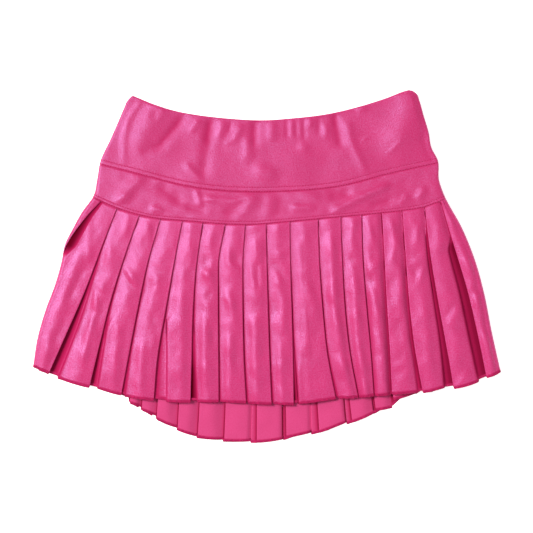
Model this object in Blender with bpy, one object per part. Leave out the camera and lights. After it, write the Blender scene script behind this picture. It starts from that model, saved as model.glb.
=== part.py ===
"""A pleated skort laid flat on its back, with its front side up.

The garment is a short tube skirt: a high contoured waistband, a hip yoke below it and a skirt of
knife pleats below that, cut longer behind than in front. Shorts hang inside it from the lower edge
of the waistband. Laid out, the back pieces lie on the table, the shorts lie on them, and the front
pieces lie on top. Every piece is a cloth wall of real thickness, and pieces that are sewn together
stop a seam gap short of each other.

Axes: +X to the wearer's left, which is the viewer's right, +Y towards the waist, +Z up.
Lengths are in millimetres until a mesh is made, and in metres in the mesh. Widths are measured
from the garment's middle line, and heights from the topstitching over the middle pleat.
"""

import math
from collections import namedtuple

import bmesh
import bpy
from mathutils import Vector

MM = 0.001

# Cloth walls and the gaps between them.
PLEAT_CLOTH = 1.0
SHORTS_CLOTH = 1.0
YOKE_CLOTH = 1.6
BAND_CLOTH = 2.0
LAYER_GAP = 0.3
SEAM_GAP = 0.5

# One pleat is three layers of cloth on each other, with a small turn at each fold.
TURN = (PLEAT_CLOTH + LAYER_GAP) / 2
PLEAT_RISE = 4 * TURN
UNDERLAP = 10.0
LEAST_UNDERLAP = 2.2
RAMP_CLEAR = 1.2
RAMP_LENGTH = 5.0
FACE_CROWN = 0.7

# How far a side fold rounds in from the outline, as a share of its height.
FOLD_ROUND = 0.75
FOLD_ANGLES = [0.0, 30.0, 60.0, 90.0]
WRAP_STEPS = 7

# Widths across the flat garment and heights of its seams.
Guide = namedtuple("Guide", "x y")

WAIST_EDGE = [
    Guide(-157.5, 147.5),
    Guide(-104.0, 128.8),
    Guide(-50.0, 120.0),
    Guide(-6.0, 117.5),
    Guide(75.0, 126.0),
    Guide(141.0, 144.6),
    Guide(170.0, 153.5),
]
BAND_SEAM = [
    Guide(-195.0, 67.3),
    Guide(-156.0, 57.5),
    Guide(-84.0, 40.2),
    Guide(-47.0, 36.2),
    Guide(-8.0, 35.0),
    Guide(29.0, 36.2),
    Guide(88.0, 42.2),
    Guide(141.0, 55.8),
    Guide(200.0, 68.8),
]
PLEAT_SEAM = [
    Guide(-204.0, 28.5),
    Guide(-173.5, 15.2),
    Guide(-143.7, 6.5),
    Guide(-90.0, 0.5),
    Guide(-25.0, -3.5),
    Guide(27.0, 0.2),
    Guide(82.0, 5.3),
    Guide(132.0, 9.9),
    Guide(157.0, 12.8),
    Guide(185.0, 17.5),
    Guide(208.5, 26.5),
]
FRONT_HEM = [
    Guide(-273.0, -169.0),
    Guide(-253.0, -175.5),
    Guide(-206.0, -191.5),
    Guide(-134.0, -205.5),
    Guide(-60.0, -210.5),
    Guide(20.0, -212.0),
    Guide(77.0, -208.5),
    Guide(124.0, -203.0),
    Guide(205.0, -195.0),
    Guide(248.0, -186.5),
    Guide(273.0, -175.0),
]
BACK_HEM = [
    Guide(-273.0, -169.0),
    Guide(-215.0, -187.0),
    Guide(-160.0, -212.0),
    Guide(-106.0, -241.0),
    Guide(-78.0, -250.5),
    Guide(-50.0, -255.5),
    Guide(-13.0, -257.0),
    Guide(43.0, -248.5),
    Guide(99.0, -233.5),
    Guide(146.0, -216.0),
    Guide(215.0, -188.0),
    Guide(273.0, -175.0),
]

# The outline on each side: how far out it lies at each height.
Side = namedtuple("Side", "y x")

LEFT_OUTLINE = [
    Side(-169.0, -273.0),
    Side(-137.7, -268.3),
    Side(-100.3, -257.8),
    Side(-72.3, -247.3),
    Side(-44.3, -239.5),
    Side(-25.7, -235.7),
    Side(-7.0, -226.3),
    Side(11.7, -215.8),
    Side(31.5, -202.0),
    Side(49.0, -198.3),
    Side(72.5, -194.0),
    Side(95.7, -183.2),
    Side(114.3, -175.0),
    Side(133.0, -167.0),
    Side(142.5, -162.5),
    Side(147.5, -157.5),
]
RIGHT_OUTLINE = [
    Side(-175.0, 273.0),
    Side(-128.3, 262.5),
    Side(-81.7, 253.2),
    Side(-44.3, 242.7),
    Side(-7.0, 227.5),
    Side(30.0, 207.5),
    Side(49.0, 201.0),
    Side(72.5, 199.5),
    Side(86.3, 192.5),
    Side(123.7, 183.2),
    Side(142.5, 178.0),
    Side(150.0, 174.8),
    Side(153.5, 170.0),
]

# At the left side the back's first pleat comes round over the front for the upper third of the
# skirt, and stands open beside the front's first pleat, which is tucked under it. Widths are from
# the outline.
Wrap = namedtuple("Wrap", "row strip first_pleat tuck")

LEFT_WRAP = [
    Wrap(0.0, 7.4, 9.4, 2.2),
    Wrap(0.12, 6.2, 11.0, 2.4),
    Wrap(0.22, 3.6, 12.2, 3.5),
    Wrap(0.3, 0.0, 8.5, 3.5),
    Wrap(0.36, 0.0, 0.0, 0.0),
]

# Where each fold edge of the front crosses the seam, each third of the skirt, and the hem. open_*
# is how far the pleat stands open beside the edge. faces is 1 where the edge points to +X.
Fold = namedtuple("Fold", "seam third two_thirds hem open_third open_two_thirds open_hem faces")

FRONT_FOLDS = [
    Fold(-174.4, -198.8, -225.3, -252.9, 0.0, 3.5, 7.5, 1),
    Fold(-148.2, -171.0, -189.5, -205.4, 0.0, 2.5, 9.0, 1),
    Fold(-123.7, -142.1, -156.0, -169.2, 0.0, 0.0, 2.5, 1),
    Fold(-98.2, -111.2, -123.8, -131.2, 0.0, 5.0, 11.0, 1),
    Fold(-74.4, -83.7, -86.7, -88.4, 0.0, 2.0, 7.0, 1),
    Fold(-48.3, -56.5, -56.2, -55.6, 0.0, 0.0, 1.5, 1),
    Fold(-24.9, -27.9, -27.0, -23.8, 0.0, 0.0, 2.0, 1),
    Fold(-0.8, 0.9, 2.8, 5.8, 0.0, 0.0, 1.5, 1),
    Fold(27.0, 28.5, 31.3, 33.6, 0.0, 1.0, 3.0, 1),
    Fold(59.7, 62.4, 68.8, 79.3, 0.0, 0.0, 2.0, 1),
    Fold(86.3, 89.1, 95.1, 105.6, 0.0, 0.0, 0.5, 1),
    Fold(110.5, 113.3, 119.7, 124.5, 0.0, 0.0, 0.5, 1),
    Fold(134.3, 138.0, 142.1, 145.7, 0.0, 0.0, 0.5, -1),
    Fold(158.0, 163.1, 169.8, 181.8, 0.0, 1.0, 4.5, -1),
    Fold(184.2, 192.5, 203.4, 217.0, 3.0, 2.5, 11.0, -1),
    Fold(198.5, 223.0, 238.5, 255.5, 7.0, 9.5, 8.5, -1),
]

# The back is seen from its inside, above. Its fold edges all point to -X.
BackFold = namedtuple("BackFold", "seam hem open_hem")

BACK_FOLDS = [
    BackFold(-183.0, -237.0, 1.0),
    BackFold(-166.0, -206.0, 1.0),
    BackFold(-150.0, -174.0, 1.0),
    BackFold(-134.0, -146.5, 1.0),
    BackFold(-115.0, -129.0, 0.5),
    BackFold(-92.0, -104.3, 1.0),
    BackFold(-67.0, -80.5, 1.0),
    BackFold(-40.0, -50.8, 1.5),
    BackFold(-11.0, -11.5, 5.0),
    BackFold(18.0, 22.3, 2.5),
    BackFold(46.0, 61.8, 6.5),
    BackFold(72.0, 100.0, 5.0),
    BackFold(96.0, 127.8, 1.0),
    BackFold(117.0, 150.0, 1.0),
    BackFold(137.0, 176.0, 1.0),
    BackFold(157.0, 206.0, 1.0),
    BackFold(177.0, 236.0, 1.0),
]

# Rows of the pleated skirt, from the seam at 0 to the hem at 1.
SKIRT_ROWS = [0.0, 0.12, 0.22, 0.3, 0.36, 0.56, 0.78, 1.0]

# Height of the front's upper face down the garment: 0 waist, 1 band seam, 2 pleat seam, 3 hem.
Level = namedtuple("Level", "place top")

LEVELS = [
    Level(0.0, 5.2),
    Level(1.0, 7.4),
    Level(2.0, 10.6),
    Level(2.36, 10.7),
    Level(2.78, 10.7),
    Level(3.0, 8.8),
]

# The largest soft folds of the waistband and yoke, each from one point to another.
Ridge = namedtuple("Ridge", "x0 y0 x1 y1 height width")

RIDGES = [
    Ridge(-152.0, 132.0, -172.0, 75.0, 1.1, 10.0),
    Ridge(-122.0, 128.0, -138.0, 96.0, 0.9, 9.0),
    Ridge(-88.0, 122.0, -116.0, 72.0, 1.3, 12.0),
    Ridge(-48.0, 116.0, -56.0, 60.0, 1.1, 10.0),
    Ridge(-10.0, 112.0, -22.0, 52.0, 0.9, 11.0),
    Ridge(35.0, 116.0, 30.0, 62.0, 1.0, 9.0),
    Ridge(64.0, 120.0, 58.0, 72.0, 0.9, 8.0),
    Ridge(98.0, 124.0, 112.0, 70.0, 1.2, 12.0),
    Ridge(152.0, 136.0, 138.0, 80.0, 1.3, 14.0),
    Ridge(-150.0, 46.0, -112.0, 28.0, 0.8, 9.0),
    Ridge(-60.0, 26.0, 10.0, 20.0, 0.7, 7.0),
    Ridge(60.0, 22.0, 130.0, 38.0, 0.9, 9.0),
]

# One leg of the shorts. Each row lies a drop below the lower edge of the waistband, follows that
# edge's curve by a share, and runs from the garment's middle, or the leg's inner edge, to the
# outside of the leg. lift is the height of its lower layer's middle.
LegRow = namedtuple("LegRow", "drop curve inner outer lift")

LEG_ROWS = [
    LegRow(0.9, 1.0, 0.25, 179.0, 2.4),
    LegRow(18.0, 1.0, 0.25, 180.5, 3.4),
    LegRow(35.0, 1.0, 0.25, 182.0, 4.6),
    LegRow(82.0, 0.7, 0.25, 184.0, 4.6),
    LegRow(128.0, 0.5, 0.25, 182.0, 4.6),
    LegRow(142.0, 0.45, 6.0, 181.0, 4.6),
    LegRow(186.0, 0.3, 14.0, 174.0, 4.6),
]
LEG_SPACING = 1.4
LEG_STATIONS = [0.0, 0.17, 0.34, 0.5, 0.67, 0.84, 1.0]

# Points across the smooth pieces between their side folds, and rows down them.
ACROSS = 35
BAND_ROWS = [0.0, 0.05, 0.14, 0.34, 0.56, 0.78, 1.0]
YOKE_ROWS = [0.0, 0.33, 0.67, 1.0]

PINK = (0.74, 0.084, 0.275)
SHADED_PINK = (0.62, 0.06, 0.215)


def clear_scene():
    for old in list(bpy.data.objects):
        bpy.data.objects.remove(old, do_unlink=True)


def mix(a, b, share):
    return a + (b - a) * share


def curve_through(rows):
    """A smooth function through a table whose rows start with a rising place and a value."""
    xs = [row[0] for row in rows]
    ys = [row[1] for row in rows]
    slopes = [(ys[i + 1] - ys[i]) / (xs[i + 1] - xs[i]) for i in range(len(rows) - 1)]
    tangents = [slopes[0]]
    for i in range(1, len(slopes)):
        before = xs[i] - xs[i - 1]
        after = xs[i + 1] - xs[i]
        steady = slopes[i - 1] * slopes[i] > 0.0
        blend = (slopes[i - 1] * after + slopes[i] * before) / (before + after)
        tangents.append(blend if steady else 0.0)
    tangents.append(slopes[-1])

    def value(x):
        if x <= xs[0]:
            return ys[0] + tangents[0] * (x - xs[0])
        if x >= xs[-1]:
            return ys[-1] + tangents[-1] * (x - xs[-1])
        i = max(k for k in range(len(xs) - 1) if xs[k] <= x)
        step = xs[i + 1] - xs[i]
        t = (x - xs[i]) / step
        level = (1 + 2 * t) * (1 - t) ** 2 * ys[i] + t * t * (3 - 2 * t) * ys[i + 1]
        lean = t * (1 - t) ** 2 * tangents[i] - t * t * (1 - t) * tangents[i + 1]
        return level + step * lean

    return value


waist_edge = curve_through(WAIST_EDGE)
band_seam = curve_through(BAND_SEAM)
pleat_seam = curve_through(PLEAT_SEAM)
front_hem = curve_through(FRONT_HEM)
back_hem = curve_through(BACK_HEM)
left_outline = curve_through(LEFT_OUTLINE)
right_outline = curve_through(RIGHT_OUTLINE)
top_height = curve_through(LEVELS)
wrap_strip = curve_through([(wrap.row, wrap.strip) for wrap in LEFT_WRAP])
wrap_first_pleat = curve_through([(wrap.row, wrap.first_pleat) for wrap in LEFT_WRAP])
wrap_tuck = curve_through([(wrap.row, wrap.tuck) for wrap in LEFT_WRAP])


def material(name, colour, roughness):
    made = bpy.data.materials.new(name)
    made.use_nodes = True
    shader = made.node_tree.nodes["Principled BSDF"]
    shader.inputs["Base Color"].default_value = (*colour, 1.0)
    shader.inputs["Roughness"].default_value = roughness
    shader.inputs["Metallic"].default_value = 0.0
    return made


def thickening(row, upright_ends):
    """For each point of a row, the way the wall thickens there in the XZ plane, corners mitred."""
    found = []
    for i in range(len(row)):
        here = Vector((row[i][0], row[i][2]))
        before = Vector((row[i - 1][0], row[i - 1][2])) if i > 0 else None
        after = Vector((row[i + 1][0], row[i + 1][2])) if i < len(row) - 1 else None
        into = (here - before).normalized() if before else (after - here).normalized()
        out = (after - here).normalized() if after else into
        normal = Vector((-(into.y + out.y), into.x + out.x)).normalized()
        at_end = before is None or after is None
        if at_end and upright_ends:
            found.append(Vector((math.copysign(1.0, normal.x), 0.0)))
            continue
        along = max(normal.dot(Vector((-out.y, out.x))), 0.6)
        found.append(normal / along)
    return found


def wall(name, rows, thickness, look, upright_ends=True):
    """A closed cloth wall of one thickness whose middle surface runs through rows of points."""
    mesh = bmesh.new()
    upper = []
    lower = []
    for row in rows:
        ways = thickening(row, upright_ends)
        ups = []
        downs = []
        for point, way in zip(row, ways):
            push = Vector((way.x, 0.0, way.y)) * (thickness / 2)
            ups.append(mesh.verts.new((Vector(point) + push) * MM))
            downs.append(mesh.verts.new((Vector(point) - push) * MM))
        upper.append(ups)
        lower.append(downs)
    last_row = len(rows) - 1
    last_point = len(rows[0]) - 1
    for j in range(last_row):
        for i in range(last_point):
            for side in (upper, lower):
                mesh.faces.new((side[j][i], side[j][i + 1], side[j + 1][i + 1], side[j + 1][i]))
        for i in (0, last_point):
            mesh.faces.new((upper[j][i], upper[j + 1][i], lower[j + 1][i], lower[j][i]))
    for i in range(last_point):
        for j in (0, last_row):
            mesh.faces.new((upper[j][i], upper[j][i + 1], lower[j][i + 1], lower[j][i]))
    bmesh.ops.recalc_face_normals(mesh, faces=mesh.faces)
    data = bpy.data.meshes.new(name)
    mesh.to_mesh(data)
    mesh.free()
    data.shade_smooth()
    data.set_sharp_from_angle(angle=math.radians(40))
    data.materials.append(look)
    made = bpy.data.objects.new(name, data)
    bpy.context.scene.collection.objects.link(made)
    return made


def side_fold(middle, level, from_edge_to_level):
    """Rounded side of a flat tube: (how far in from the outline, height) from its middle out."""
    reach = abs(level - middle) * FOLD_ROUND
    points = []
    for angle in FOLD_ANGLES:
        turn = math.radians(angle)
        points.append((reach * (1.0 - math.cos(turn)), middle + (level - middle) * math.sin(turn)))
    return points if from_edge_to_level else points[::-1]


# --- the waistband and the yoke ---------------------------------------------------------------


def relief(x, y):
    """How far the soft folds lift the front at a point."""
    lift = 0.0
    for ridge in RIDGES:
        run = Vector((ridge.x1 - ridge.x0, ridge.y1 - ridge.y0))
        here = Vector((x - ridge.x0, y - ridge.y0))
        along = min(max(here.dot(run) / run.length_squared, 0.0), 1.0)
        away = (here - run * along).length / ridge.width
        lift += ridge.height * math.exp(-away * away)
    return lift


def smooth_piece(name, upper, lower, first_place, cloth, downs, look, front):
    """A waistband or yoke piece, from one side fold to the other, between two seam curves."""
    (upper_table, upper_curve), (lower_table, lower_curve) = upper, lower
    rows = []
    for down in downs:
        place = first_place + down
        left_y = mix(upper_table[0].y, lower_table[0].y, down)
        right_y = mix(upper_table[-1].y, lower_table[-1].y, down)
        left = left_outline(left_y) + cloth / 2
        right = right_outline(right_y) - cloth / 2
        resting = cloth / 2
        raised = top_height(place) - cloth / 2
        middle = (resting + raised) / 2
        level = raised if front else resting
        start = middle + (SEAM_GAP / 2 if front else -SEAM_GAP / 2)
        fold = side_fold(start, level, True)
        inner_left = left + fold[-1][0]
        inner_right = right - fold[-1][0]
        places = [(left + inset, height, 0.0) for inset, height in fold[:-1]]
        for k in range(ACROSS):
            places.append((mix(inner_left, inner_right, k / (ACROSS - 1)), level, 1.0))
        places += [(right - inset, height, 0.0) for inset, height in reversed(fold[:-1])]
        upper_gap = SEAM_GAP / 2 if first_place > 0 else 0.0
        if not front and first_place == 0:
            upper_gap = 1.5
        row = []
        for x, z, open_face in places:
            share = (x - left) / (right - left)
            high = upper_curve(mix(upper_table[0].x, upper_table[-1].x, share)) - upper_gap
            low = lower_curve(mix(lower_table[0].x, lower_table[-1].x, share)) + SEAM_GAP / 2
            y = mix(high, low, down)
            lift = relief(x, y) * open_face if front else 0.0
            row.append((x, y, z + lift))
        rows.append(row)
    return wall(name, rows, cloth, look)


# --- the pleated skirt ------------------------------------------------------------------------


def through_thirds(seam, third, two_thirds, hem):
    return curve_through([(0.0, seam), (1 / 3, third), (2 / 3, two_thirds), (1.0, hem)])


# One fold at one row: the mountain edge, the opening beside it and the way it points.
RowFold = namedtuple("RowFold", "edge opening faces")


def front_row_folds(row):
    found = []
    for fold in FRONT_FOLDS:
        edge = through_thirds(fold.seam, fold.third, fold.two_thirds, fold.hem)(row)
        opening = through_thirds(0.0, fold.open_third, fold.open_two_thirds, fold.open_hem)(row)
        found.append(RowFold(edge, max(opening, 0.0), fold.faces))
    return found


def back_row_folds(row):
    return [RowFold(mix(f.seam, f.hem, row), f.open_hem * row, -1) for f in BACK_FOLDS]


def fold_turns(fold, underlap, low):
    """The mountain turn and the valley turn of one fold, from the left panel to the right one."""
    way = fold.faces
    edge = fold.edge - way * PLEAT_CLOTH / 2
    deep = edge - way * underlap
    levels = [low + k * TURN for k in range(5)]
    mountain = [
        (edge - way * TURN, levels[4]),
        (edge, levels[3]),
        (edge - way * TURN, levels[2]),
    ]
    valley = [
        (deep + way * TURN, levels[2]),
        (deep, levels[1]),
        (deep + way * TURN, levels[0]),
    ]
    turns = mountain + valley
    return turns if way > 0 else turns[::-1]


def pleated_middle(folds, start, end, ends_low, low, crown):
    """Section of the pleats between two side folds, as (x, z): three layers at each fold."""
    high = low + PLEAT_RISE
    points = []
    face_from = start
    from_low = False
    for i, fold in enumerate(folds):
        follower = folds[i + 1] if i + 1 < len(folds) else None
        clear = fold.opening + RAMP_CLEAR + PLEAT_CLOTH / 2
        if fold.faces > 0:
            room = fold.edge - face_from - RAMP_CLEAR - RAMP_LENGTH
            underlap = max(min(UNDERLAP, room - PLEAT_CLOTH), LEAST_UNDERLAP)
            face_to = fold.edge - PLEAT_CLOTH - TURN
            top_from = points[-1][0] if points else start
            points.append((mix(top_from, face_to, 0.5), high + crown))
            points += fold_turns(fold, underlap, low)
            next_deep = follower.edge if follower else end
            points.append((fold.edge + clear - PLEAT_CLOTH / 2, low))
            ramp_room = max(next_deep - UNDERLAP - fold.edge - clear, RAMP_LENGTH)
            ramp = RAMP_LENGTH if fold.opening > 2.5 else max(0.6 * ramp_room, RAMP_LENGTH)
            points.append((fold.edge + clear + ramp, high))
            face_from = fold.edge + clear
            from_low = True
        else:
            low_at = fold.edge - clear + PLEAT_CLOTH / 2
            if points:
                top_from = points[-1][0]
                ramp_room = low_at - top_from
                ramp = RAMP_LENGTH if fold.opening > 2.5 else 0.5 * ramp_room
                if i > 0 and folds[i - 1].faces < 0:
                    over = folds[i - 1].edge + PLEAT_CLOTH / 2 + last_underlap + RAMP_CLEAR
                    ramp = min(ramp, low_at - over)
                points.append((mix(top_from, low_at - ramp, 0.5), high + crown))
                points.append((low_at - ramp, high))
            points.append((low_at, low))
            after = follower.edge - follower.opening if follower else end
            room = after - fold.edge - 2 * RAMP_CLEAR - PLEAT_CLOTH
            room -= RAMP_LENGTH if (follower or ends_low) else 0.0
            underlap = max(min(UNDERLAP, room), LEAST_UNDERLAP)
            last_underlap = underlap
            points += fold_turns(fold, underlap, low)
    top_from = points[-1][0]
    if ends_low:
        over = folds[-1].edge + PLEAT_CLOTH / 2 + last_underlap + RAMP_CLEAR
        points.append((mix(top_from, over, 0.5), high + crown))
        points.append((over, high))
        points.append((end - RAMP_CLEAR, low))
    else:
        points.append((mix(top_from, end, 0.5), high + 0.4 * crown))
    return points


def skirt_sides(row):
    """Where the outline is at a row, and the heights of the side folds."""
    left = left_outline(mix(PLEAT_SEAM[0].y, FRONT_HEM[0].y, row)) + PLEAT_CLOTH / 2
    right = right_outline(mix(PLEAT_SEAM[-1].y, FRONT_HEM[-1].y, row)) - PLEAT_CLOTH / 2
    low = top_height(2.0 + row) - PLEAT_CLOTH / 2 - PLEAT_RISE
    high = low + PLEAT_RISE
    middle = (PLEAT_CLOTH / 2 + high) / 2
    return left, right, low, high, middle


def front_section(row):
    left, right, low, high, middle = skirt_sides(row)
    fold = side_fold(middle + SEAM_GAP / 2, high, True)
    first = left + wrap_first_pleat(row)
    if row < LEFT_WRAP[-1].row:
        tucked = left + wrap_tuck(row)
        section = [(tucked, low), (first - 2.2, low), (first - 0.6, low + 1.0), (first + 1.4, high)]
        start = first + 1.4
    else:
        section = [(left + inset, height) for inset, height in fold]
        start = section[-1][0]
    end = right - fold[-1][0]
    section += pleated_middle(front_row_folds(row), start, end, False, low, FACE_CROWN)
    section += [(right - inset, height) for inset, height in reversed(fold)]
    return section


def back_section(row):
    left, right, _, front_high, middle = skirt_sides(row)
    low = PLEAT_CLOTH / 2
    reach = (front_high - middle) * FOLD_ROUND
    strip = wrap_strip(row) - PLEAT_CLOTH / 2 if row < LEFT_WRAP[-2].row else 0.0
    section = []
    if strip > reach:
        section.append((left + strip, front_high))
        first_turn = 90.0
        steps = WRAP_STEPS - 1
    else:
        first_turn = math.degrees(math.acos(1.0 - strip / reach))
        steps = WRAP_STEPS
    start_height = middle if strip > 0.0 else middle - SEAM_GAP / 2
    for k in range(steps + 1):
        turn = math.radians(mix(first_turn, -90.0, k / steps))
        rise = front_high - start_height if turn > 0.0 else start_height - low
        section.append((left + reach * (1.0 - math.cos(turn)), start_height + rise * math.sin(turn)))
    end = right - reach
    section += pleated_middle(back_row_folds(row), left + reach, end, True, low, 0.0)
    fold = side_fold(middle - SEAM_GAP / 2, low, True)
    section += [(right - inset, height) for inset, height in reversed(fold)]
    return section


def skirt_piece(name, section, hem, look):
    at_seam = section(0.0)
    at_hem = section(1.0)
    rows = []
    for row in SKIRT_ROWS:
        points = []
        for (x, z), (seam_x, _), (hem_x, _) in zip(section(row), at_seam, at_hem):
            y = mix(pleat_seam(seam_x) - SEAM_GAP / 2, hem(hem_x), row)
            points.append((x, y, z))
        rows.append(points)
    return wall(name, rows, PLEAT_CLOTH, look)


# --- the shorts -------------------------------------------------------------------------------


def leg(name, way, look):
    """One leg: a single piece of cloth folded round the outside of the leg, open at its inner edge."""
    rows = []
    middle = band_seam(0.0)
    for row in LEG_ROWS:
        turn = LEG_SPACING / 2
        inner = row.inner + SHORTS_CLOTH / 2
        outer = row.outer - SHORTS_CLOTH / 2
        layer = [mix(inner, outer - turn, station) for station in LEG_STATIONS]
        section = [(x, row.lift + LEG_SPACING) for x in layer]
        section += [(outer, row.lift + turn)]
        section += [(x, row.lift) for x in reversed(layer)]
        points = []
        for x, z in section:
            curve = band_seam(way * x) - middle
            points.append((way * x, middle + row.curve * curve - row.drop, z))
        rows.append(points)
    return wall(name, rows, SHORTS_CLOTH, look, upright_ends=False)


def settle(pieces):
    """Bring the garment's lowest middle point to the origin."""
    points = [vertex.co for piece in pieces for vertex in piece.data.vertices]
    low = Vector(min(point[axis] for point in points) for axis in range(3))
    high = Vector(max(point[axis] for point in points) for axis in range(3))
    shift = Vector(((low.x + high.x) / 2, (low.y + high.y) / 2, low.z))
    for piece in pieces:
        for vertex in piece.data.vertices:
            vertex.co -= shift


def build():
    clear_scene()
    satin = material("pink satin", PINK, 0.34)
    band_satin = material("pink satin waistband", PINK, 0.36)
    yoke_satin = material("pink satin yoke", PINK, 0.35)
    back_satin = material("pink satin back", SHADED_PINK, 0.6)
    jersey = material("pink shorts jersey", SHADED_PINK, 0.7)
    waist = (WAIST_EDGE, waist_edge)
    band = (BAND_SEAM, band_seam)
    pleats = (PLEAT_SEAM, pleat_seam)
    pieces = [
        smooth_piece("waistband_front", waist, band, 0.0, BAND_CLOTH, BAND_ROWS, band_satin, True),
        smooth_piece("waistband_back", waist, band, 0.0, BAND_CLOTH, BAND_ROWS, band_satin, False),
        smooth_piece("yoke_front", band, pleats, 1.0, YOKE_CLOTH, YOKE_ROWS, yoke_satin, True),
        smooth_piece("yoke_back", band, pleats, 1.0, YOKE_CLOTH, YOKE_ROWS, yoke_satin, False),
        skirt_piece("skirt_front", front_section, front_hem, satin),
        skirt_piece("skirt_back", back_section, back_hem, back_satin),
        leg("shorts_left", 1, jersey),
        leg("shorts_right", -1, jersey),
    ]
    settle(pieces)


build()
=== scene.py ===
import math
from collections import namedtuple

import bpy
import numpy as np
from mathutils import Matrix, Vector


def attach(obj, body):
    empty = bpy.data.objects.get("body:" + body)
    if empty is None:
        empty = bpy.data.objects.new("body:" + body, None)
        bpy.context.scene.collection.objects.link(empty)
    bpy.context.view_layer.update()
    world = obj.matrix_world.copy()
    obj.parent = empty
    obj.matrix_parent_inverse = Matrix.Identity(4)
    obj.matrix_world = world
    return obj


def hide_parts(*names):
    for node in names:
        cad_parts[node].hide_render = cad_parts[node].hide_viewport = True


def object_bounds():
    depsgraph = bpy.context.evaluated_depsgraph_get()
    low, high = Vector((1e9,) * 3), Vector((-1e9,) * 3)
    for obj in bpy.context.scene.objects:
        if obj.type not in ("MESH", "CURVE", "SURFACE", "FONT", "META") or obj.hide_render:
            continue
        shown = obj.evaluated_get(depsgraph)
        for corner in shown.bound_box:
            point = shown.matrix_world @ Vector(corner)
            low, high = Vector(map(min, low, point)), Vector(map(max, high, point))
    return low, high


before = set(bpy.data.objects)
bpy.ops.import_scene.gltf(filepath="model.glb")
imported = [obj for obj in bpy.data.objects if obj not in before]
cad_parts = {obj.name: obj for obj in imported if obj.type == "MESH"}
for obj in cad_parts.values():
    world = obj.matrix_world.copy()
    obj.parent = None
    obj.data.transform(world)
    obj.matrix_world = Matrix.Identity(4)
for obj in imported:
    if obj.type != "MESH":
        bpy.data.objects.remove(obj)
cad_low, cad_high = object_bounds()

# A pleated satin skort laid flat on its back. Lengths are in millimetres until a mesh is made.
# Widths are measured from the garment's middle line, and heights from the topstitching over the
# middle pleat. Each cloth piece is a thin closed wall on the form of its solid.

MM = 0.001


def table(kind, *rows):
    return [kind(*row) for row in rows]


# --- cloth, seams and layers ---

PLEAT_CLOTH = 0.6
SHORTS_CLOTH = 0.7
YOKE_CLOTH = 1.3
BAND_CLOTH = 1.7
SEAM_GAP = 0.16
SIDE_GAP = 0.4
SIDE_MARGIN = 0.5
FOLD_ROUND = 0.75
SKIRT_LENGTH = 180.0
BACK_WAIST_DROP = 1.4

Guide = namedtuple("Guide", "x y")

WAIST_EDGE = table(
    Guide,
    (-157.5, 147.5), (-135, 138.4), (-104, 128.8), (-84, 125.2), (-50, 121.1), (-6, 118.7),
    (29, 120.9), (75, 126.7), (111, 135.5), (141, 145), (163, 153.3), (167, 154.2), (170, 153.5),
)
BAND_SEAM = table(
    Guide,
    (-195, 67.3), (-156, 57.5), (-84, 40.2), (-47, 36.2), (-8, 35), (29, 36.2), (88, 42.2),
    (141, 55.8), (200, 68.8),
)
PLEAT_SEAM = table(
    Guide,
    (-204, 28.5), (-173.5, 15.2), (-143.7, 6.5), (-90, 0.5), (-25, -3.5), (27, 0.2), (82, 5.3),
    (132, 9.9), (157, 12.8), (185, 17.5), (208.5, 26.5),
)
FRONT_HEM = table(
    Guide,
    (-273, -169), (-253, -175.5), (-206, -191.5), (-134, -205.5), (-60, -210.5), (20, -212),
    (77, -208.5), (124, -203), (205, -195), (248, -186.5), (273, -175),
)
BACK_HEM = table(
    Guide,
    (-273, -169), (-215, -187), (-160, -212), (-106, -241), (-78, -250.5), (-50, -255.5),
    (-13, -257), (43, -248.5), (99, -233.5), (146, -216), (215, -188), (273, -175),
)

Side = namedtuple("Side", "y x")

LEFT_OUTLINE = table(
    Side,
    (-169, -273), (-137.7, -268.3), (-100.3, -257.8), (-72.3, -247.3), (-44.3, -239.5),
    (-25.7, -235.7), (-7, -226.3), (11.7, -215.8), (31.5, -202), (49, -198.3), (72.5, -194),
    (95.7, -183.2), (114.3, -175), (133, -167), (142.5, -162.5), (147.5, -157.5),
)
RIGHT_OUTLINE = table(
    Side,
    (-175, 273.6), (-128.3, 263.1), (-81.7, 253.8), (-44.3, 243.3), (-7, 228.1), (30, 208.1),
    (49, 201.6), (72.5, 200.1), (86.3, 193.1), (105, 189.6), (123.7, 184), (142.5, 178.6),
    (150, 175.4), (153.5, 170.6),
)

# Height of the front's upper face: 0 waist, 1 band seam, 2 pleat seam, 3 hem.
Level = namedtuple("Level", "place top")

LEVELS = table(
    Level,
    (0, 5.2), (1, 7.4), (2, 10.6), (2.36, 10.7), (2.78, 10.7), (3, 9.4),
)

# The back's first pleat comes round over the front at the left side. Widths from the outline.
Wrap = namedtuple("Wrap", "row strip first_pleat tuck")

LEFT_WRAP = table(
    Wrap,
    (0, 9.4, 11.2, 2.2), (0.095, 6.2, 11.6, 2.4), (0.18, 2.8, 11.6, 2.6), (0.245, 1.2, 11.6, 2.6),
    (0.31, 0.5, 6.5, 3.5), (0.36, 0, 0, 0),
)
WRAP_FADES = 0.27
WRAP_ENDS = 0.36
WRAP_OVER = 1.5
WRAP_RISES_BEFORE = 2.4
WRAP_RISE_WIDTH = 3.9
# Painted shade: WRAP_LIT lessens it across the front's tuck under the wrap, STRIP_DARK sets it on
# the back's strip.
WRAP_LIT = 0.6
STRIP_COLUMNS = 4
STRIP_SPACING = 0.02
STRIP_JOINS = 1.5
STRIP_DARK = 0.16
STRIP_DARK_WIDTH = 2.0

# --- the pleats ---

# Each fold edge of the front at the seam, each quarter of the skirt, and the hem. open_* is how far
# the pleat stands open beside it. faces is 1 where the edge points to +X. crisp is 1 where the far
# side of the opening is a sharp step. dark is how much shade is painted on the cloth in the
# opening.
# opens is how far down the skirt the opening starts.
Fold = namedtuple(
    "Fold",
    "seam quarter half three_quarters hem open_quarter open_half open_late open_hem "
    "faces crisp dark opens",
    defaults=[0.0],
)
QUARTERS = [0.0, 0.25, 0.5, 0.75, 1.0]

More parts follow.
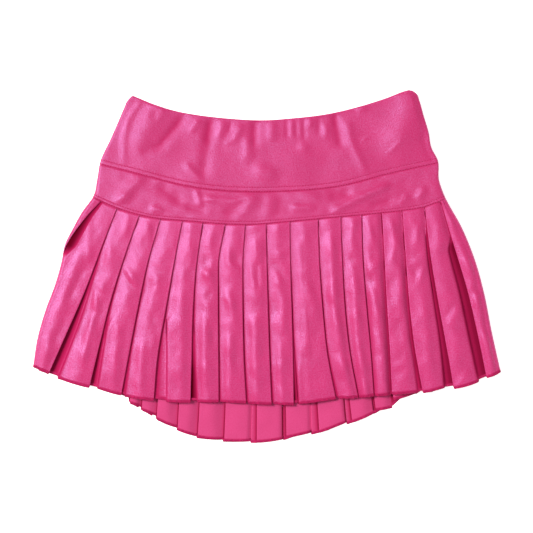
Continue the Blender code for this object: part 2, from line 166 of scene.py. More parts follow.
FRONT_FOLDS = table(
    Fold,
    (-174.4, -193, -211.4, -232.3, -253.8, 0.4, 3.4, 7.6, 9.4, 1, 0, 0.75),
    (-148.2, -166, -181.7, -194.3, -206.6, 0, 0.5, 4, 8.5, 1, 1, 0.7),
    (-123.7, -138.4, -149.6, -159.6, -169.3, 0, 0, 0.5, 3, 1, 0, 0.9),
    (-98.2, -108.2, -117.6, -126.8, -131.5, 0, 0.8, 9.5, 14, 1, 1, 0.3),
    (-74.4, -82, -85.8, -87.2, -88.6, 0, 0.6, 3, 7, 1, 0, 1),
    (-48.3, -56.5, -56.4, -56, -55.7, 0, 0, 0, 1, 1, 0, 0.9),
    (-24.9, -27.9, -27.7, -26.5, -23.7, 0, 0, 0.4, 1.5, 1, 0, 0.9),
    (-0.8, 0.5, 1.9, 3.6, 6, 0, 0, 0.3, 1.2, 1, 0, 0.9),
    (27, 27.9, 29.5, 30.9, 31.9, 0, 0, 1.6, 4.4, 1, 1, 0.9),
    (59.7, 61.6, 65.3, 70.8, 80.8, 0, 0, 0.4, 2, 1, 0, 0.9),
    (86.3, 88.2, 91.2, 97, 106.9, 0, 0, 0, 0.4, 1, 0, 0.9),
    (110.5, 112.1, 116.3, 121.2, 125, 0, 0, 0, 0.6, 1, 0, 0.9),
    (134.3, 137.1, 139.9, 143.3, 146, 0, 0, 0, 0.4, -1, 0, 1),
    (158, 161.8, 165.9, 172.2, 182, 0, 0.3, 1.6, 4.4, -1, 1, 0.9),
    (184.2, 190.2, 198.8, 208.6, 218, 2.6, 3.7, 5.8, 9.8, -1, 1, 0.95, 0.07),
    (202.5, 217.8, 233.3, 245.4, 256.2, 6.4, 8.2, 9, 8.2, -1, 1, 1, 0.19),
)

# Each front panel from the wearer's right: how round it stands, how much of its width the soft
# rise beside the fold takes, and how far its hem hangs below the hem curve at its two ends.
Panel = namedtuple("Panel", "crown rise hem_left hem_right")

FRONT_PANELS = table(
    Panel,
    (0.7, 0.45, 0, 2.3), (1.1, 0.6, 4.2, 2.1), (1.2, 0.55, 0.4, 2.2), (1, 0.5, 3.1, 2.6),
    (1.2, 0.55, 2.3, 1.3), (1.7, 0.65, 0.5, -0.3), (1.2, 0.5, -1.1, -0.2), (1.4, 0.55, 0.2, 1.2),
    (1, 0.55, 0.1, 2), (1.2, 0.5, 0.7, -1.7), (2, 0.6, -2.3, -0.1), (1.6, 0.55, 0.2, 0.2),
    (1.7, 0.28, 0.5, 0.5), (1.3, 0.28, 0.4, 0.2), (1.2, 0.28, 1.6, -1.5), (1.8, 0.28, 1.6, -0.6),
    (2.2, 0.28, -0.9, 0.4),
)

# The back, seen from its inside, above. Its fold edges all point to -X. hem_left and hem_right are
# for the panel beyond the edge.
BackFold = namedtuple("BackFold", "seam hem open_hem hem_left hem_right")

BACK_FOLDS = table(
    BackFold,
    (-183, -237, 1, 0, 0), (-166, -206, 1, -1.5, -6), (-148, -160.3, 1, 0.4, -2.4),
    (-134, -146.2, 1, 0.8, -2.2), (-115, -129, 0.5, 1.6, -0.5), (-92, -104.3, 0.8, 2, 1.6),
    (-67, -80.8, 1, 2.2, -0.6), (-40, -49.8, 1.2, 1, -0.8), (-11, -11.7, 6.7, 0.9, 0.4),
    (18, 23, 3, 0.2, -0.4), (46, 61.6, 9, 2.3, -1.1), (72, 100.2, 6, 1.6, 0.2),
    (96, 127.9, 1, -1.9, 1.9), (117, 148.6, 1, -6.4, -3.4), (137, 176, 1, -5, -4),
    (157, 206, 1, -2, -2), (177, 236, 1, 0, 0),
)
BACK_CROWN = 0.5
BACK_RISE = 0.7
BACK_FOLD_DARK = 0.45
BACK_TUCK = 1.0

# The pleats are pressed flat at the seam and lie freely from PRESSED_REACH of the way down.
PLEAT_RISE = 2.6
PRESSED_RISE = 1.32
PRESSED_REACH = 0.55
PRESSED_CROWN = 0.45
# How much of the painted shade of fold lines and fold sides shows where the pleats are pressed.
PRESSED_LINE = 0.7
PRESSED_DARK = 0.3

UNDERLAP = 10.0
LEAST_UNDERLAP = 2.6
UNDERLAP_ROOM = 5.0
FOLD_CLEAR = 0.5
CRISP_STEP = 1.6
CRISP_OPENING = 2.5

# How the hem hangs in the openings, and how deep a wide opening sinks, more so near the sides.
FRONT_OPENING_DROP = -2.2
BACK_OPENING_DROP = 1.4
OPENS_OVER = 0.09
SINKS_FROM = 3.0
SINKS_OVER = 6.0
SINK_BY_SIDE = 0.45
SINK_IN_MIDDLE = 0.12
BY_SIDE = 190.0

# --- creases ---

# A soft ridge, or a trough where height is below 0, from one point to another.
Crease = namedtuple("Crease", "x0 y0 x1 y1 height width")

BAND_CREASES = table(
    Crease,
    (-147, 141, -162, 119, 0.8, 4), (-162, 119, -167, 96, 0.8, 4), (-167, 96, -167, 69, 0.65, 4.5),
    (-134, 128, -127, 124, -1.1, 7), (-117.8, 147, -152.8, 88.7, 2.1, 13),
    (-96.8, 123.7, -127.2, 86.3, -1.7, 5.5), (-128, 89, -144, 82, -0.9, 6),
    (-79, 118, -89, 106, 0.9, 4), (-66, 120, -69, 93, -2.3, 6.5), (-69, 93, -75, 54, -1.2, 7),
    (-51, 116, -56, 98, 1.1, 4.5), (-42, 117, -44, 105, -0.7, 3), (-30, 112, -37, 97, 1, 4.5),
    (-36, 96, -48, 92, 0.6, 4), (-21, 98, -23, 72, 1, 6), (-14, 117, -15, 89, -1.4, 5.5),
    (6, 116, 6, 96, 1.2, 6), (23, 120, 24, 99, -0.5, 2.8), (29, 118, 29, 100, 0.35, 2.6),
    (34, 120, 35, 100, -0.5, 2.6), (43, 120, 44, 97, -0.55, 2.8), (51, 120, 51, 111, 0.9, 3.5),
    (61, 122, 61, 104, -0.5, 3), (69, 114, 70, 99, 1.1, 4.5), (38, 89, 48, 85, 0.9, 5),
    (79, 125, 82, 112, -1.5, 4.5), (82, 112, 86, 89, -1.4, 5.5), (94, 117, 100, 91, 1, 5),
    (100, 91, 116, 58, 1, 5), (112, 95, 118, 98, 0.5, 1.6), (143, 80.5, 158, 95.5, 0.6, 3),
    (106, 131, 116, 133, 0.9, 5), (174, 152, 152, 84, 3.4, 19), (-94, 66, -76, 48, 1.1, 4.5),
    (-13, 63, 9, 54, 1.6, 9), (50, 84, 74, 72, -0.7, 12), (-113, 72, -90, 84, -0.6, 12),
    (184, 107, 197, 72, -1.2, 8),
)

YOKE_CREASES = table(
    Crease,
    (-146, 51, -172, 26, 1.89, 6.5), (-160, 30, -174, 24, 0.94, 5), (-134, 16, -122, 13, 1.22, 4),
    (-125, 42, -99, 23, -1.35, 6), (-82, 37, -77, 19, 1.22, 3.6), (-74, 28, -41, 23, 1.49, 5),
    (-41, 23, -18, 30, 1.35, 4.5), (-94, 19, -71, 12, -0.94, 4), (-49, 12, -26, 13, -0.94, 4),
    (-10, 34, -34, 5, 1.4, 6.5), (5, 28, 0, 5, 0.8, 7), (18, 30, 12, 8, -0.6, 6),
    (30, 18, 55, 15, 1.22, 4), (141, 42, 108, 28, 2.2, 4.5), (108, 28, 78, 12, 1.76, 5),
    (74, 30, 97, 35, -1.22, 6), (122, 19, 146, 26, -1.08, 4.5), (184, 40, 176, 27, 1.35, 4.5),
    (164, 30, 155, 21, 0.94, 3.6), (38, 30, 62, 28, 0.81, 6),
)

PLEAT_CREASES = table(
    Crease,
    (-210, 0, -205, -47, 1.3, 5), (-218, -12, -223, -40, -1, 3.5), (-218, -35, -228, -68, 1.2, 6),
    (-228, -68, -248, -114, 1.3, 6.5), (-248, -114, -258, -144, 1.1, 7),
    (-214, -56, -232, -91, -0.9, 5), (-234, -112, -246, -144, -0.8, 5),
    (-253, -144, -260, -163, 0.9, 5), (-182, -5, -186, -47, 1.1, 5),
    (-196, -58, -183, -63, -1.2, 4), (-203, -69, -188, -80, 1.2, 3),
    (-202, -70, -197, -105, 1.1, 2.8), (-204, -74, -209, -126, -1, 3),
    (-203, -110, -214, -168, 1.2, 3.6), (-211, -97, -222, -152, -1.1, 2.8),
    (-218, -126, -229, -170, 0.9, 2.6), (-190, -91, -197, -126, -0.7, 4),
    (-197, -132, -204, -184, 0.9, 4), (-161, 7, -164, -16, 1, 4), (-173, -44, -148, -75, 1.4, 3.6),
    (-170, -56, -155, -79, -1, 3), (-163, -78, -146, -89, 1, 3), (-176, -79, -167, -103, -0.8, 4),
    (-174, -119, -177, -194, 1, 5), (-160, -114, -167, -152, -0.7, 5),
    (-154, -27, -148, -42, -0.8, 4), (-138, 0, -135, -28, 1.2, 4.5), (-128, -7, -131, -28, -0.9, 4),
    (-138, -40, -117, -55, 1.3, 4), (-127, -63, -128, -84, 1.2, 5),
    (-140, -68, -142, -98, -0.9, 4.5), (-146, -138, -147, -203, 1, 5),
    (-132, -126, -134, -189, 0.7, 4), (-136, -103, -125, -126, -0.7, 5), (-89, 0, -91, -33, 0.8, 4),
    (-84, -28, -89, -54, 1.1, 4.5), (-107, -44, -111, -79, -0.8, 5), (-98, -91, -98, -203, 1.2, 6),
    (-106, -9, -108, -33, 0.7, 4), (-70, -40, -72, -54, -1.7, 4.5), (-74, -58, -62, -66, 1.5, 4),
    (-62, -66, -60, -82, 1.2, 3.6), (-65, -82, -71, -91, -1, 3.6), (-63, -12, -68, -30, 0.8, 4),
    (-72, -114, -74, -203, 1.3, 5), (-62, -126, -62, -149, -0.9, 3), (-46, -28, -43, -51, 1.4, 3.4),
    (-43, -51, -28, -60, 1.4, 3.2), (-36, -37, -32, -47, -1.1, 4), (-44, -82, -34, -126, 1.2, 5),
    (-50, -91, -48, -114, -0.8, 4), (-44, -138, -46, -201, 1.2, 5), (-34, -138, -34, -184, -0.6, 4),
    (-13, -21, -12, -47, 1.3, 3), (-7.5, -26, -7, -75, 1.2, 2.8), (-20, -47, -15, -77, 1, 2.8),
    (-9, -47, -9, -75, -1, 2.4), (-14, -91, -15, -112, -0.8, 5), (-14, -112, -14, -205, 1.2, 5.5),
    (9, -2, 14, -19, 0.9, 3.6), (12, -37, 25, -34, 1.2, 3.6), (8, -47, 20, -61, -1.6, 4.5),
    (10, -70, 27, -75, 1.2, 3.6), (20, -86, 21, -126, 1.1, 4.5), (10, -91, 10, -112, -0.8, 4),
    (15, -138, 16, -205, 0.9, 5), (38, -28, 39, -103, 1.1, 1.7), (35, -47, 36, -105, -0.8, 1.5),
    (44, -98, 49, -210, 1, 1.5), (41, -105, 46, -208, -0.8, 1.3), (47, -70, 60, -112, 1.2, 4.5),
    (52, -47, 51, -72, -0.7, 5), (60, -126, 52, -161, -0.8, 6), (69, -180, 76, -203, 1.1, 5),
    (42, -7, 46, -28, 0.8, 4), (75, -12, 77, -86, 1.4, 5), (77, -86, 90, -161, 1.6, 5),
    (90, -161, 100, -203, 1.5, 5), (85, -33, 90, -56, -0.8, 3.5), (102, 0, 99, -21, 1, 3.6),
    (97, -40, 102, -47, -0.9, 3.5), (103, -63, 105, -142, 1.4, 5), (106, -142, 116, -201, 1.2, 5),
    (119, -5, 125, -28, 1.1, 3.6), (117, -56, 132, -49, 1.2, 3), (119, -63, 122, -75, -1.7, 4),
    (124, -82, 131, -121, 1.1, 4), (132, -121, 138, -198, 1.4, 4.5), (145, 0, 150, -26, 1.3, 4),
    (150, -26, 145, -47, 1.2, 4), (156, -49, 156, -105, 1.4, 5), (141, -68, 144, -91, -0.9, 4),
    (150, -126, 160, -149, -0.8, 5), (147, -168, 164, -163, 1, 2.4),
    (144, -177, 160, -176, -0.7, 2.2), (161, -126, 166, -191, 0.8, 5),
    (176, -5, 174, -28, 1.2, 3.6), (168, -47, 187, -42, 1.3, 3), (187, -44, 177, -72, 1.3, 3.4),
    (170, -56, 176, -61, -1.1, 3.2), (183, -86, 188, -149, 1.2, 5.5),
    (188, -149, 192, -191, 0.9, 6), (164, -16, 167, -35, -0.7, 3), (197, 2, 202, -33, 0.8, 6),
    (219, -96, 204, -117, -1, 5), (228, -98, 214, -119, 0.9, 4.5), (237, -173, 219, -194, 1.3, 3.6),
    (225, -138, 230, -168, -0.8, 6), (234, -42, 242, -63, 1.6, 4.5),
    (248, -72, 234, -91, -1.2, 4.5), (248, -86, 242, -98, 0.8, 3.5),
    (253, -110, 260, -133, -0.7, 4.5), (258, -133, 267, -173, 1.3, 5.5),
)
CREASE_TAPER = 0.3

# Uneven soft waves all over a piece.
Wave = namedtuple("Wave", "height length turn")

BAND_WAVES = table(Wave, (0.3, 55, 0), (0.05, 17, 0))
YOKE_WAVES = table(Wave, (0.3, 55, 0), (0.14, 17, 0))
PLEAT_WAVES = table(Wave, (0.6, 34, 0), (0.22, 13, 1))
WANDER_WAVES = 7
WANDER_TURN = 0.9
WANDER_SHORTEST = 0.72
WANDER_LONGER = 0.11
WANDER_SHIFT = 1.7

# --- the shorts, from the solid's rows ---

LegRow = namedtuple("LegRow", "drop curve inner outer lift")

LEG_ROWS = table(
    LegRow,
    (0.9, 1, 0.25, 179, 2.4), (18, 1, 0.25, 180.5, 3.4), (35, 1, 0.25, 182, 4.6),
    (82, 0.7, 0.25, 184, 4.6), (128, 0.5, 0.25, 182, 4.6), (142, 0.45, 6, 181, 4.6),
    (186, 0.3, 14, 174, 4.6),
)
LEG_SPACING = 1.4
LEG_ACROSS = 40
LEG_DOWN = 44
LEG_TURN_ANGLES = [60.0, 30.0, 0.0, -30.0, -60.0]

# --- stitching ---

STITCH_LENGTH = 2.2
STITCH_PITCH = 3.1
STITCH_RADIUS = 0.36
BAND_STITCH = 5.3
YOKE_STITCH = 3.5
JOIN_STITCH = 0.9
DASH_SIDES = 6

# Rings of a dash: how far from its middle, how thick and how deep under the cloth.
Station = namedtuple("Station", "reach size sunk")

DASH_STATIONS = table(
    Station, (-1, 0.35, 0.35), (-0.62, 1, 0.1), (0.62, 1, 0.1), (1, 0.35, 0.35)
)

# --- colours ---

# Colours of each cloth: in the light, with painted shade, and with deeper painted shade in a fold.
Dye = namedtuple("Dye", "lit shade deep")

SATIN = Dye((0.615, 0.024, 0.14), (0.43, 0.011, 0.078), (0.12, 0.0008, 0.01))
INSIDE = Dye((0.65, 0.05, 0.18), (0.47, 0.02, 0.095), (0.2, 0.002, 0.022))
JERSEY = Dye((0.5, 0.04, 0.15), (0.45, 0.02, 0.1), (0.3, 0.006, 0.04))
SATIN_GLOSS = (0.6, 0.5, 1.0)
HEM_PINK = (0.46, 0.01, 0.085)
# Topstitching thread colour, the cloth's pink darkened with painted shade for the stitch holes.
THREAD_PINK_AND_PAINTED_SHADE = (0.36, 0.006, 0.05)


def mix(a, b, share):
    return a + (b - a) * share


def smooth_step(share):
    held = np.clip(share, 0.0, 1.0)
    return held * held * (3.0 - 2.0 * held)


def bump(away):
    return np.exp(-(away**2))


def curve_through(rows):
    """A smooth function through a table whose rows start with a rising place and a value."""
    xs = np.array([row[0] for row in rows], float)
    ys = np.array([row[1] for row in rows], float)
    steps = np.diff(xs)
    slopes = np.diff(ys) / steps
    blend = (slopes[:-1] * steps[1:] + slopes[1:] * steps[:-1]) / (steps[:-1] + steps[1:])
    inner = np.where(slopes[:-1] * slopes[1:] > 0.0, blend, 0.0)
    tangents = np.concatenate([slopes[:1], inner, slopes[-1:]])

    def value(x):
        x = np.asarray(x, float)
        i = np.clip(np.searchsorted(xs, x, side="right") - 1, 0, len(xs) - 2)
        step = xs[i + 1] - xs[i]
        t = np.clip((x - xs[i]) / step, 0.0, 1.0)
        level = (1 + 2 * t) * (1 - t) ** 2 * ys[i] + t * t * (3 - 2 * t) * ys[i + 1]
        lean = t * (1 - t) ** 2 * tangents[i] - t * t * (1 - t) * tangents[i + 1]
        before = tangents[0] * np.minimum(x - xs[0], 0.0)
        beyond = tangents[-1] * np.maximum(x - xs[-1], 0.0)
        return level + step * lean + before + beyond

    return value


waist_edge = curve_through(WAIST_EDGE)
band_seam = curve_through(BAND_SEAM)
pleat_seam = curve_through(PLEAT_SEAM)
front_hem = curve_through(FRONT_HEM)
back_hem = curve_through(BACK_HEM)
left_outline = curve_through(LEFT_OUTLINE)
right_outline = curve_through(RIGHT_OUTLINE)
top_height = curve_through(LEVELS)
wrap_strip = curve_through([(wrap.row, wrap.strip) for wrap in LEFT_WRAP])
wrap_first_pleat = curve_through([(wrap.row, wrap.first_pleat) for wrap in LEFT_WRAP])
wrap_tuck = curve_through([(wrap.row, wrap.tuck) for wrap in LEFT_WRAP])

# The solids' frame has its origin under the middle of the outline.
shift_up = cad_high.y / MM - WAIST_EDGE[-1].y


# --- surface relief ---


def creased(x, y, creases):
    """Height of the soft folds of a table over an array of points."""
    lift = np.zeros_like(x)
    for crease in creases:
        run_x = crease.x1 - crease.x0
        run_y = crease.y1 - crease.y0
        length = math.hypot(run_x, run_y)
        along = ((x - crease.x0) * run_x + (y - crease.y0) * run_y) / length
        away = ((x - crease.x0) * run_y - (y - crease.y0) * run_x) / length
        soft = CREASE_TAPER * length + crease.width
        taper = smooth_step(along / soft + 0.5) * smooth_step((length - along) / soft + 0.5)
        lift += crease.height * taper * bump(away / crease.width)
    return lift


def waved(x, y, waves, phase):
    """Height of uneven soft waves over an array of points."""
    total = np.zeros_like(x)
    for wave in waves:
        shifted = phase + wave.turn
        height = wave.height * 2 / WANDER_WAVES
        for k in range(WANDER_WAVES):
            turn = WANDER_TURN * k + shifted
            rate = 2.0 * math.pi / (wave.length * (WANDER_SHORTEST + WANDER_LONGER * k))
            place = rate * (x * math.cos(turn) + y * math.sin(turn))
            total += height * np.sin(place + WANDER_SHIFT * k * shifted + k)
    return total


# --- closed cloth walls ---

RIM_REACH = 0.9


def unit(vectors):
    return vectors / np.maximum(np.linalg.norm(vectors, axis=-1, keepdims=True), 1e-9)


def surface_ways(middle):
    """Unit ways across, down and out of a grid of points."""
    across = unit(np.gradient(middle, axis=1))
    down = unit(np.gradient(middle, axis=0))
    return across, down, unit(np.cross(down, across))


def rim_places(rows, columns):
    """Rows, columns and outward ways round a grid's border, clockwise from its first corner."""
    r = np.arange(rows)
    c = np.arange(columns)
    places_r = np.concatenate([0 * c, r[1:], 0 * c[1:] + rows - 1, r[-2:0:-1]])
    places_c = np.concatenate([c, 0 * r[1:] + columns - 1, c[-2::-1], 0 * r[-2:0:-1]])
    outward_down = (places_r == rows - 1) * 1.0 - (places_r == 0) * 1.0
    outward_across = (places_c == columns - 1) * 1.0 - (places_c == 0) * 1.0
    return places_r, places_c, outward_down, outward_across


def grid_faces(rows, columns, first):
    r, c = np.meshgrid(np.arange(rows - 1), np.arange(columns - 1), indexing="ij")
    a = (first + r * columns + c).ravel()
    return np.stack([a, a + columns, a + columns + 1, a + 1], axis=1), r.ravel()


def travelled(middle, axis):
    """How far each column or row of a grid lies along the cloth from the first."""
    steps = np.linalg.norm(np.diff(middle, axis=axis), axis=2).mean(axis=1 - axis)
    return np.concatenate([[0.0], np.cumsum(steps)])


def cloth_wall(name, middle, thickness, looks, edge_from=None, depth=None):
    """A closed wall round a grid of points. looks are for its upper, lower and edge faces."""
    rows, columns, _ = middle.shape
    across, down, out = surface_ways(middle)
    half = np.broadcast_to(thickness, (rows, columns))[..., None] / 2
    upper = middle + out * half
    lower = middle - out * half
    rim_r, rim_c, way_down, way_across = rim_places(rows, columns)
    outward = down[rim_r, rim_c] * way_down[:, None] + across[rim_r, rim_c] * way_across[:, None]
    rim = middle[rim_r, rim_c] + unit(outward) * half[rim_r, rim_c] * RIM_REACH

    count = rows * columns
    upper_faces, face_row = grid_faces(rows, columns, 0)
    lower_faces = grid_faces(rows, columns, count)[0][:, ::-1]
    here = rim_r * columns + rim_c
    there = np.roll(here, -1)
    rim_here = 2 * count + np.arange(len(here))
    rim_there = np.roll(rim_here, -1)
    upper_rim = np.stack([here, there, rim_there, rim_here], axis=1)
    lower_rim = np.stack([rim_here, rim_there, there + count, here + count], axis=1)
    faces = np.concatenate([upper_faces, lower_faces, upper_rim, lower_rim])

    if edge_from is None:
        edge_from = rows
    in_edge = face_row >= edge_from
    rim_look = np.where(rim_r >= edge_from, 2, 0)
    look = np.concatenate([np.where(in_edge, 2, 0), np.where(in_edge, 2, 1), rim_look, rim_look])

    u, v = np.meshgrid(travelled(middle, 1), travelled(middle, 0))
    grid_uv = np.stack([u, v], axis=2).reshape(-1, 2)
    points = np.concatenate([upper.reshape(-1, 3), lower.reshape(-1, 3), rim])
    uv = np.concatenate([grid_uv, grid_uv, grid_uv[here]])
    piece = mesh_piece(name, points, faces.tolist(), looks, look, uv)
    # A point attribute of painted shade, which the cloth material turns into darker colour and less
    # gloss.
    if depth is not None:
        flat = depth.reshape(-1)
        shading = piece.data.attributes.new(name="depth", type="FLOAT", domain="POINT")
        shading.data.foreach_set("value", np.concatenate([flat, flat, flat[here]]))
    return piece, upper, lower, out


def mesh_piece(name, points, faces, looks, look, uv=None):
    """An object from points in the garment's millimetres, placed in the solids' frame."""
    placed = (points + np.array([0.0, shift_up, 0.0])) * MM
    mesh = bpy.data.meshes.new(name)
    mesh.from_pydata(placed.tolist(), [], faces)
    for used in looks:
        mesh.materials.append(used)
    mesh.polygons.foreach_set("material_index", np.asarray(look, dtype=np.int32))
    if uv is not None:
        layer = mesh.uv_layers.new(name="cloth")
        corner_points = np.empty(len(mesh.loops), dtype=np.int32)
        mesh.loops.foreach_get("vertex_index", corner_points)
        layer.data.foreach_set("uv", uv[corner_points].ravel())
    mesh.shade_smooth()
    piece = bpy.data.objects.new(name, mesh)
    bpy.context.scene.collection.objects.link(piece)
    return piece


def row_heights(high, low, near_top, between, near_bottom):
    """Heights of a piece's rows under its upper edge, evenly between, and over its lower edge."""
    rows = [high - d for d in near_top]
    first = rows[-1]
    last = low + near_bottom[0]
    rows += [mix(first, last, k / between) for k in range(1, between)]
    rows += [low + d for d in near_bottom]
    return np.stack(rows)


def row_shares(length, near_top, between, near_bottom):
    """How far down the piece, from 0 to 1, each of those rows lies."""
    near_top = [d / length for d in near_top]
    near_bottom = [d / length for d in near_bottom]
    return 1.0 - row_heights(np.float64(1.0), np.float64(0.0), near_top, between, near_bottom)


SIDE_STEPS = 9


def side_turn(k):
    """How far in and how far up a rounded side has come at one of its steps, from 0 to 1."""
    turn = math.radians(90.0 * k / (SIDE_STEPS - 1))
    return 1.0 - math.cos(turn), math.sin(turn)


# --- the waistband and the yoke ---

ACROSS = 230
BAND_TOP_ROWS = [0.0, 0.25, 0.7, 1.4, 2.4]
BAND_LOW_ROWS = [6.6, 6.1, 5.7, 5.3, 4.9, 4.5, 3.9, 3.2, 2.5, 1.8, 1.3, 0.9, 0.55, 0.25, 0.0]
YOKE_TOP_ROWS = [0.0, 0.25, 0.55, 0.9, 1.3, 1.9]
YOKE_LOW_ROWS = [4.8, 4.3, 3.9, 3.5, 3.1, 2.7, 2.2, 1.7, 1.3, 0.9, 0.55, 0.25, 0.0]
SIDE_CREASE_FADE = 9.0
SIDE_SEAM_FADE = 3.0
EDGE_CREASE_FADE = 1.5
BACK_CREASE_MOST = 0.9
SEAM_ROLL = 0.75
SEAM_ROLL_WIDTH = 0.8
STITCH_DIP = 0.26
STITCH_DIP_WIDTH = 0.62
SEAM_PUFF = 0.1
SEAM_PUFF_PLACE = 0.55
SEAM_PUFF_WIDTH = 0.33
WAIST_THIN = 0.55
WAIST_THIN_WIDTH = 0.7
# Painted shade over the whole waistband and yoke, and more in their troughs.
BAND_PAINTED_SHADE = 0.11
TROUGH_PAINTED_SHADE = 0.07
TROUGH_MOST = 2.0

SmoothShape = namedtuple(
    "SmoothShape",
    "upper_table upper_curve lower_table lower_curve place length near_top between near_bottom "
    "cloth stitch edge_power waves",
)
BAND_SHAPE = SmoothShape(
    WAIST_EDGE, waist_edge, BAND_SEAM, band_seam, 0.0, 80.0, BAND_TOP_ROWS, 46, BAND_LOW_ROWS,
    BAND_CLOTH, BAND_STITCH, 1.0, BAND_WAVES,
)
YOKE_SHAPE = SmoothShape(
    BAND_SEAM, band_seam, PLEAT_SEAM, pleat_seam, 1.0, 38.0, YOKE_TOP_ROWS, 20, YOKE_LOW_ROWS,
    YOKE_CLOTH, YOKE_STITCH, 0.5, YOKE_WAVES,
)


# Painted shade in the troughs of the creases.
def trough_painted_shade(lift):
    return TROUGH_PAINTED_SHADE * np.clip(-lift, 0.0, TROUGH_MOST)


def seam_relief(shape, over_low, under_high):
    """How the cloth rolls in at its seams, dips under the stitches and puffs below them."""
    seam = -SEAM_ROLL * bump(over_low / SEAM_ROLL_WIDTH)
    seam -= STITCH_DIP * bump((over_low - shape.stitch) / STITCH_DIP_WIDTH)
    puff_place = shape.stitch * SEAM_PUFF_PLACE
    seam += SEAM_PUFF * bump((over_low - puff_place) / (shape.stitch * SEAM_PUFF_WIDTH))
    if shape is YOKE_SHAPE:
        seam -= SEAM_ROLL * bump(under_high / SEAM_ROLL_WIDTH)
    return seam


def edge_heights(guides, curve, share):
    """Heights of an edge at shares of its way across."""
    return curve(mix(guides[0].x, guides[-1].x, share))


def smooth_piece(name, shape, looks, front, creases, phase):
    """A waistband or yoke piece between its two seams, from one side fold to the other."""
    cloth = shape.cloth
    rows = (shape.near_top, shape.between, shape.near_bottom)
    down = row_shares(shape.length, *rows)
    top_gap = SEAM_GAP / 2
    if shape is BAND_SHAPE:
        top_gap = 0.0 if front else BACK_WAIST_DROP

    def end_rows(end):
        upper = shape.upper_table[end].y - top_gap
        return row_heights(upper, shape.lower_table[end].y + SEAM_GAP / 2, *rows)

    left = left_outline(end_rows(0)) + cloth / 2
    right = right_outline(end_rows(-1)) - cloth / 2
    resting = cloth / 2
    raised = top_height(shape.place + down) - cloth / 2
    way = 1.0 if front else -1.0
    start = (resting + raised) / 2 + way * SIDE_GAP / 2
    level = raised if front else np.full_like(raised, resting)
    reach = np.abs(level - start) * FOLD_ROUND
    sides = [side_turn(k) for k in range(SIDE_STEPS - 1)]
    xs = [left + reach * inset for inset, _ in sides]
    xs += [mix(left + reach, right - reach, k / (ACROSS - 1)) for k in range(ACROSS)]
    xs += [right - reach * inset for inset, _ in reversed(sides)]
    zs = [mix(start, level, rise) for _, rise in sides]
    zs += [level] * ACROSS + zs[::-1]
    x = np.stack(xs, axis=1)
    z = np.stack(zs, axis=1)

    share = (x - left[:, None]) / (right - left)[:, None]
    high = edge_heights(shape.upper_table, shape.upper_curve, share) - top_gap
    low = edge_heights(shape.lower_table, shape.lower_curve, share) + SEAM_GAP / 2
    y = np.stack([row_heights(high[j], low[j], *rows)[j] for j in range(len(down))])
    from_side = np.minimum(x - left[:, None], right[:, None] - x)
    under_high = high - y
    lift = creased(x, y, creases) + waved(x, y, shape.waves, phase)
    lift *= smooth_step(from_side / SIDE_CREASE_FADE)
    if not front:
        lift = np.clip(lift, 0.0, BACK_CREASE_MOST)
    z += lift * np.clip(under_high / EDGE_CREASE_FADE, 0.0, 1.0) ** shape.edge_power
    z += way * seam_relief(shape, y - low, under_high) * smooth_step(from_side / SIDE_SEAM_FADE)
    if not front:
        z = np.maximum(z, resting)
    thickness = np.full_like(x, cloth)
    if shape is BAND_SHAPE:
        thickness *= np.clip(mix(WAIST_THIN, 1.0, under_high / WAIST_THIN_WIDTH), 0.0, 1.0)
    grid = np.stack([x, y, z], axis=2)
    # Painted shade: an even darkening over the piece, darker in its troughs.
    depth = BAND_PAINTED_SHADE + trough_painted_shade(lift)
    piece, upper, lower, out = cloth_wall(name, grid, thickness, looks, depth=depth)
    surface = upper if front else lower
    lines = []
    for distance in (shape.stitch, JOIN_STITCH):
        row = shape.near_bottom.index(distance) - len(shape.near_bottom)
        lines.append((surface[row], out[row] * way))
    return piece, lines


# --- stitching ---


def point_at(place, run, source):
    return np.array([np.interp(place, run, source[:, axis]) for axis in range(3)])


def stitching(name, lines, look):
    """Short thread dashes along rows of points on the cloth, all in one piece."""
    half = STITCH_LENGTH / 2
    ring = range(DASH_SIDES)
    points = []
    faces = []
    for line, outs in lines:
        run = np.concatenate([[0.0], np.cumsum(np.linalg.norm(np.diff(line, axis=0), axis=1))])
        for place in np.arange(STITCH_PITCH, run[-1] - STITCH_PITCH, STITCH_PITCH):
            here = point_at(place, run, line)
            along = unit(point_at(place + half, run, line) - point_at(place - half, run, line))
            side = unit(np.cross(point_at(place, run, outs), along))
            rise = np.cross(along, side)
            first = len(points)
            for station in DASH_STATIONS:
                centre = here + along * station.reach * half - rise * station.sunk
                for k in ring:
                    turn = 2.0 * math.pi * k / DASH_SIDES
                    around = side * math.cos(turn) + rise * math.sin(turn)
                    points.append(centre + around * STITCH_RADIUS * station.size)
            last = first + (len(DASH_STATIONS) - 1) * DASH_SIDES
            for a in range(first, last, DASH_SIDES):
                b = a + DASH_SIDES
                for k in ring:
                    follower = (k + 1) % DASH_SIDES
                    faces.append([a + k, a + follower, b + follower, b + k])
            faces.append([first + k for k in reversed(ring)])
            faces.append([last + k for k in ring])
    return mesh_piece(name, np.array(points), faces, [look], [0] * len(faces))


# --- the pleated skirt ---

HEM_BAND = 2.7
HEM_CLOTH = 1.0
HEM_STEP = 0.4
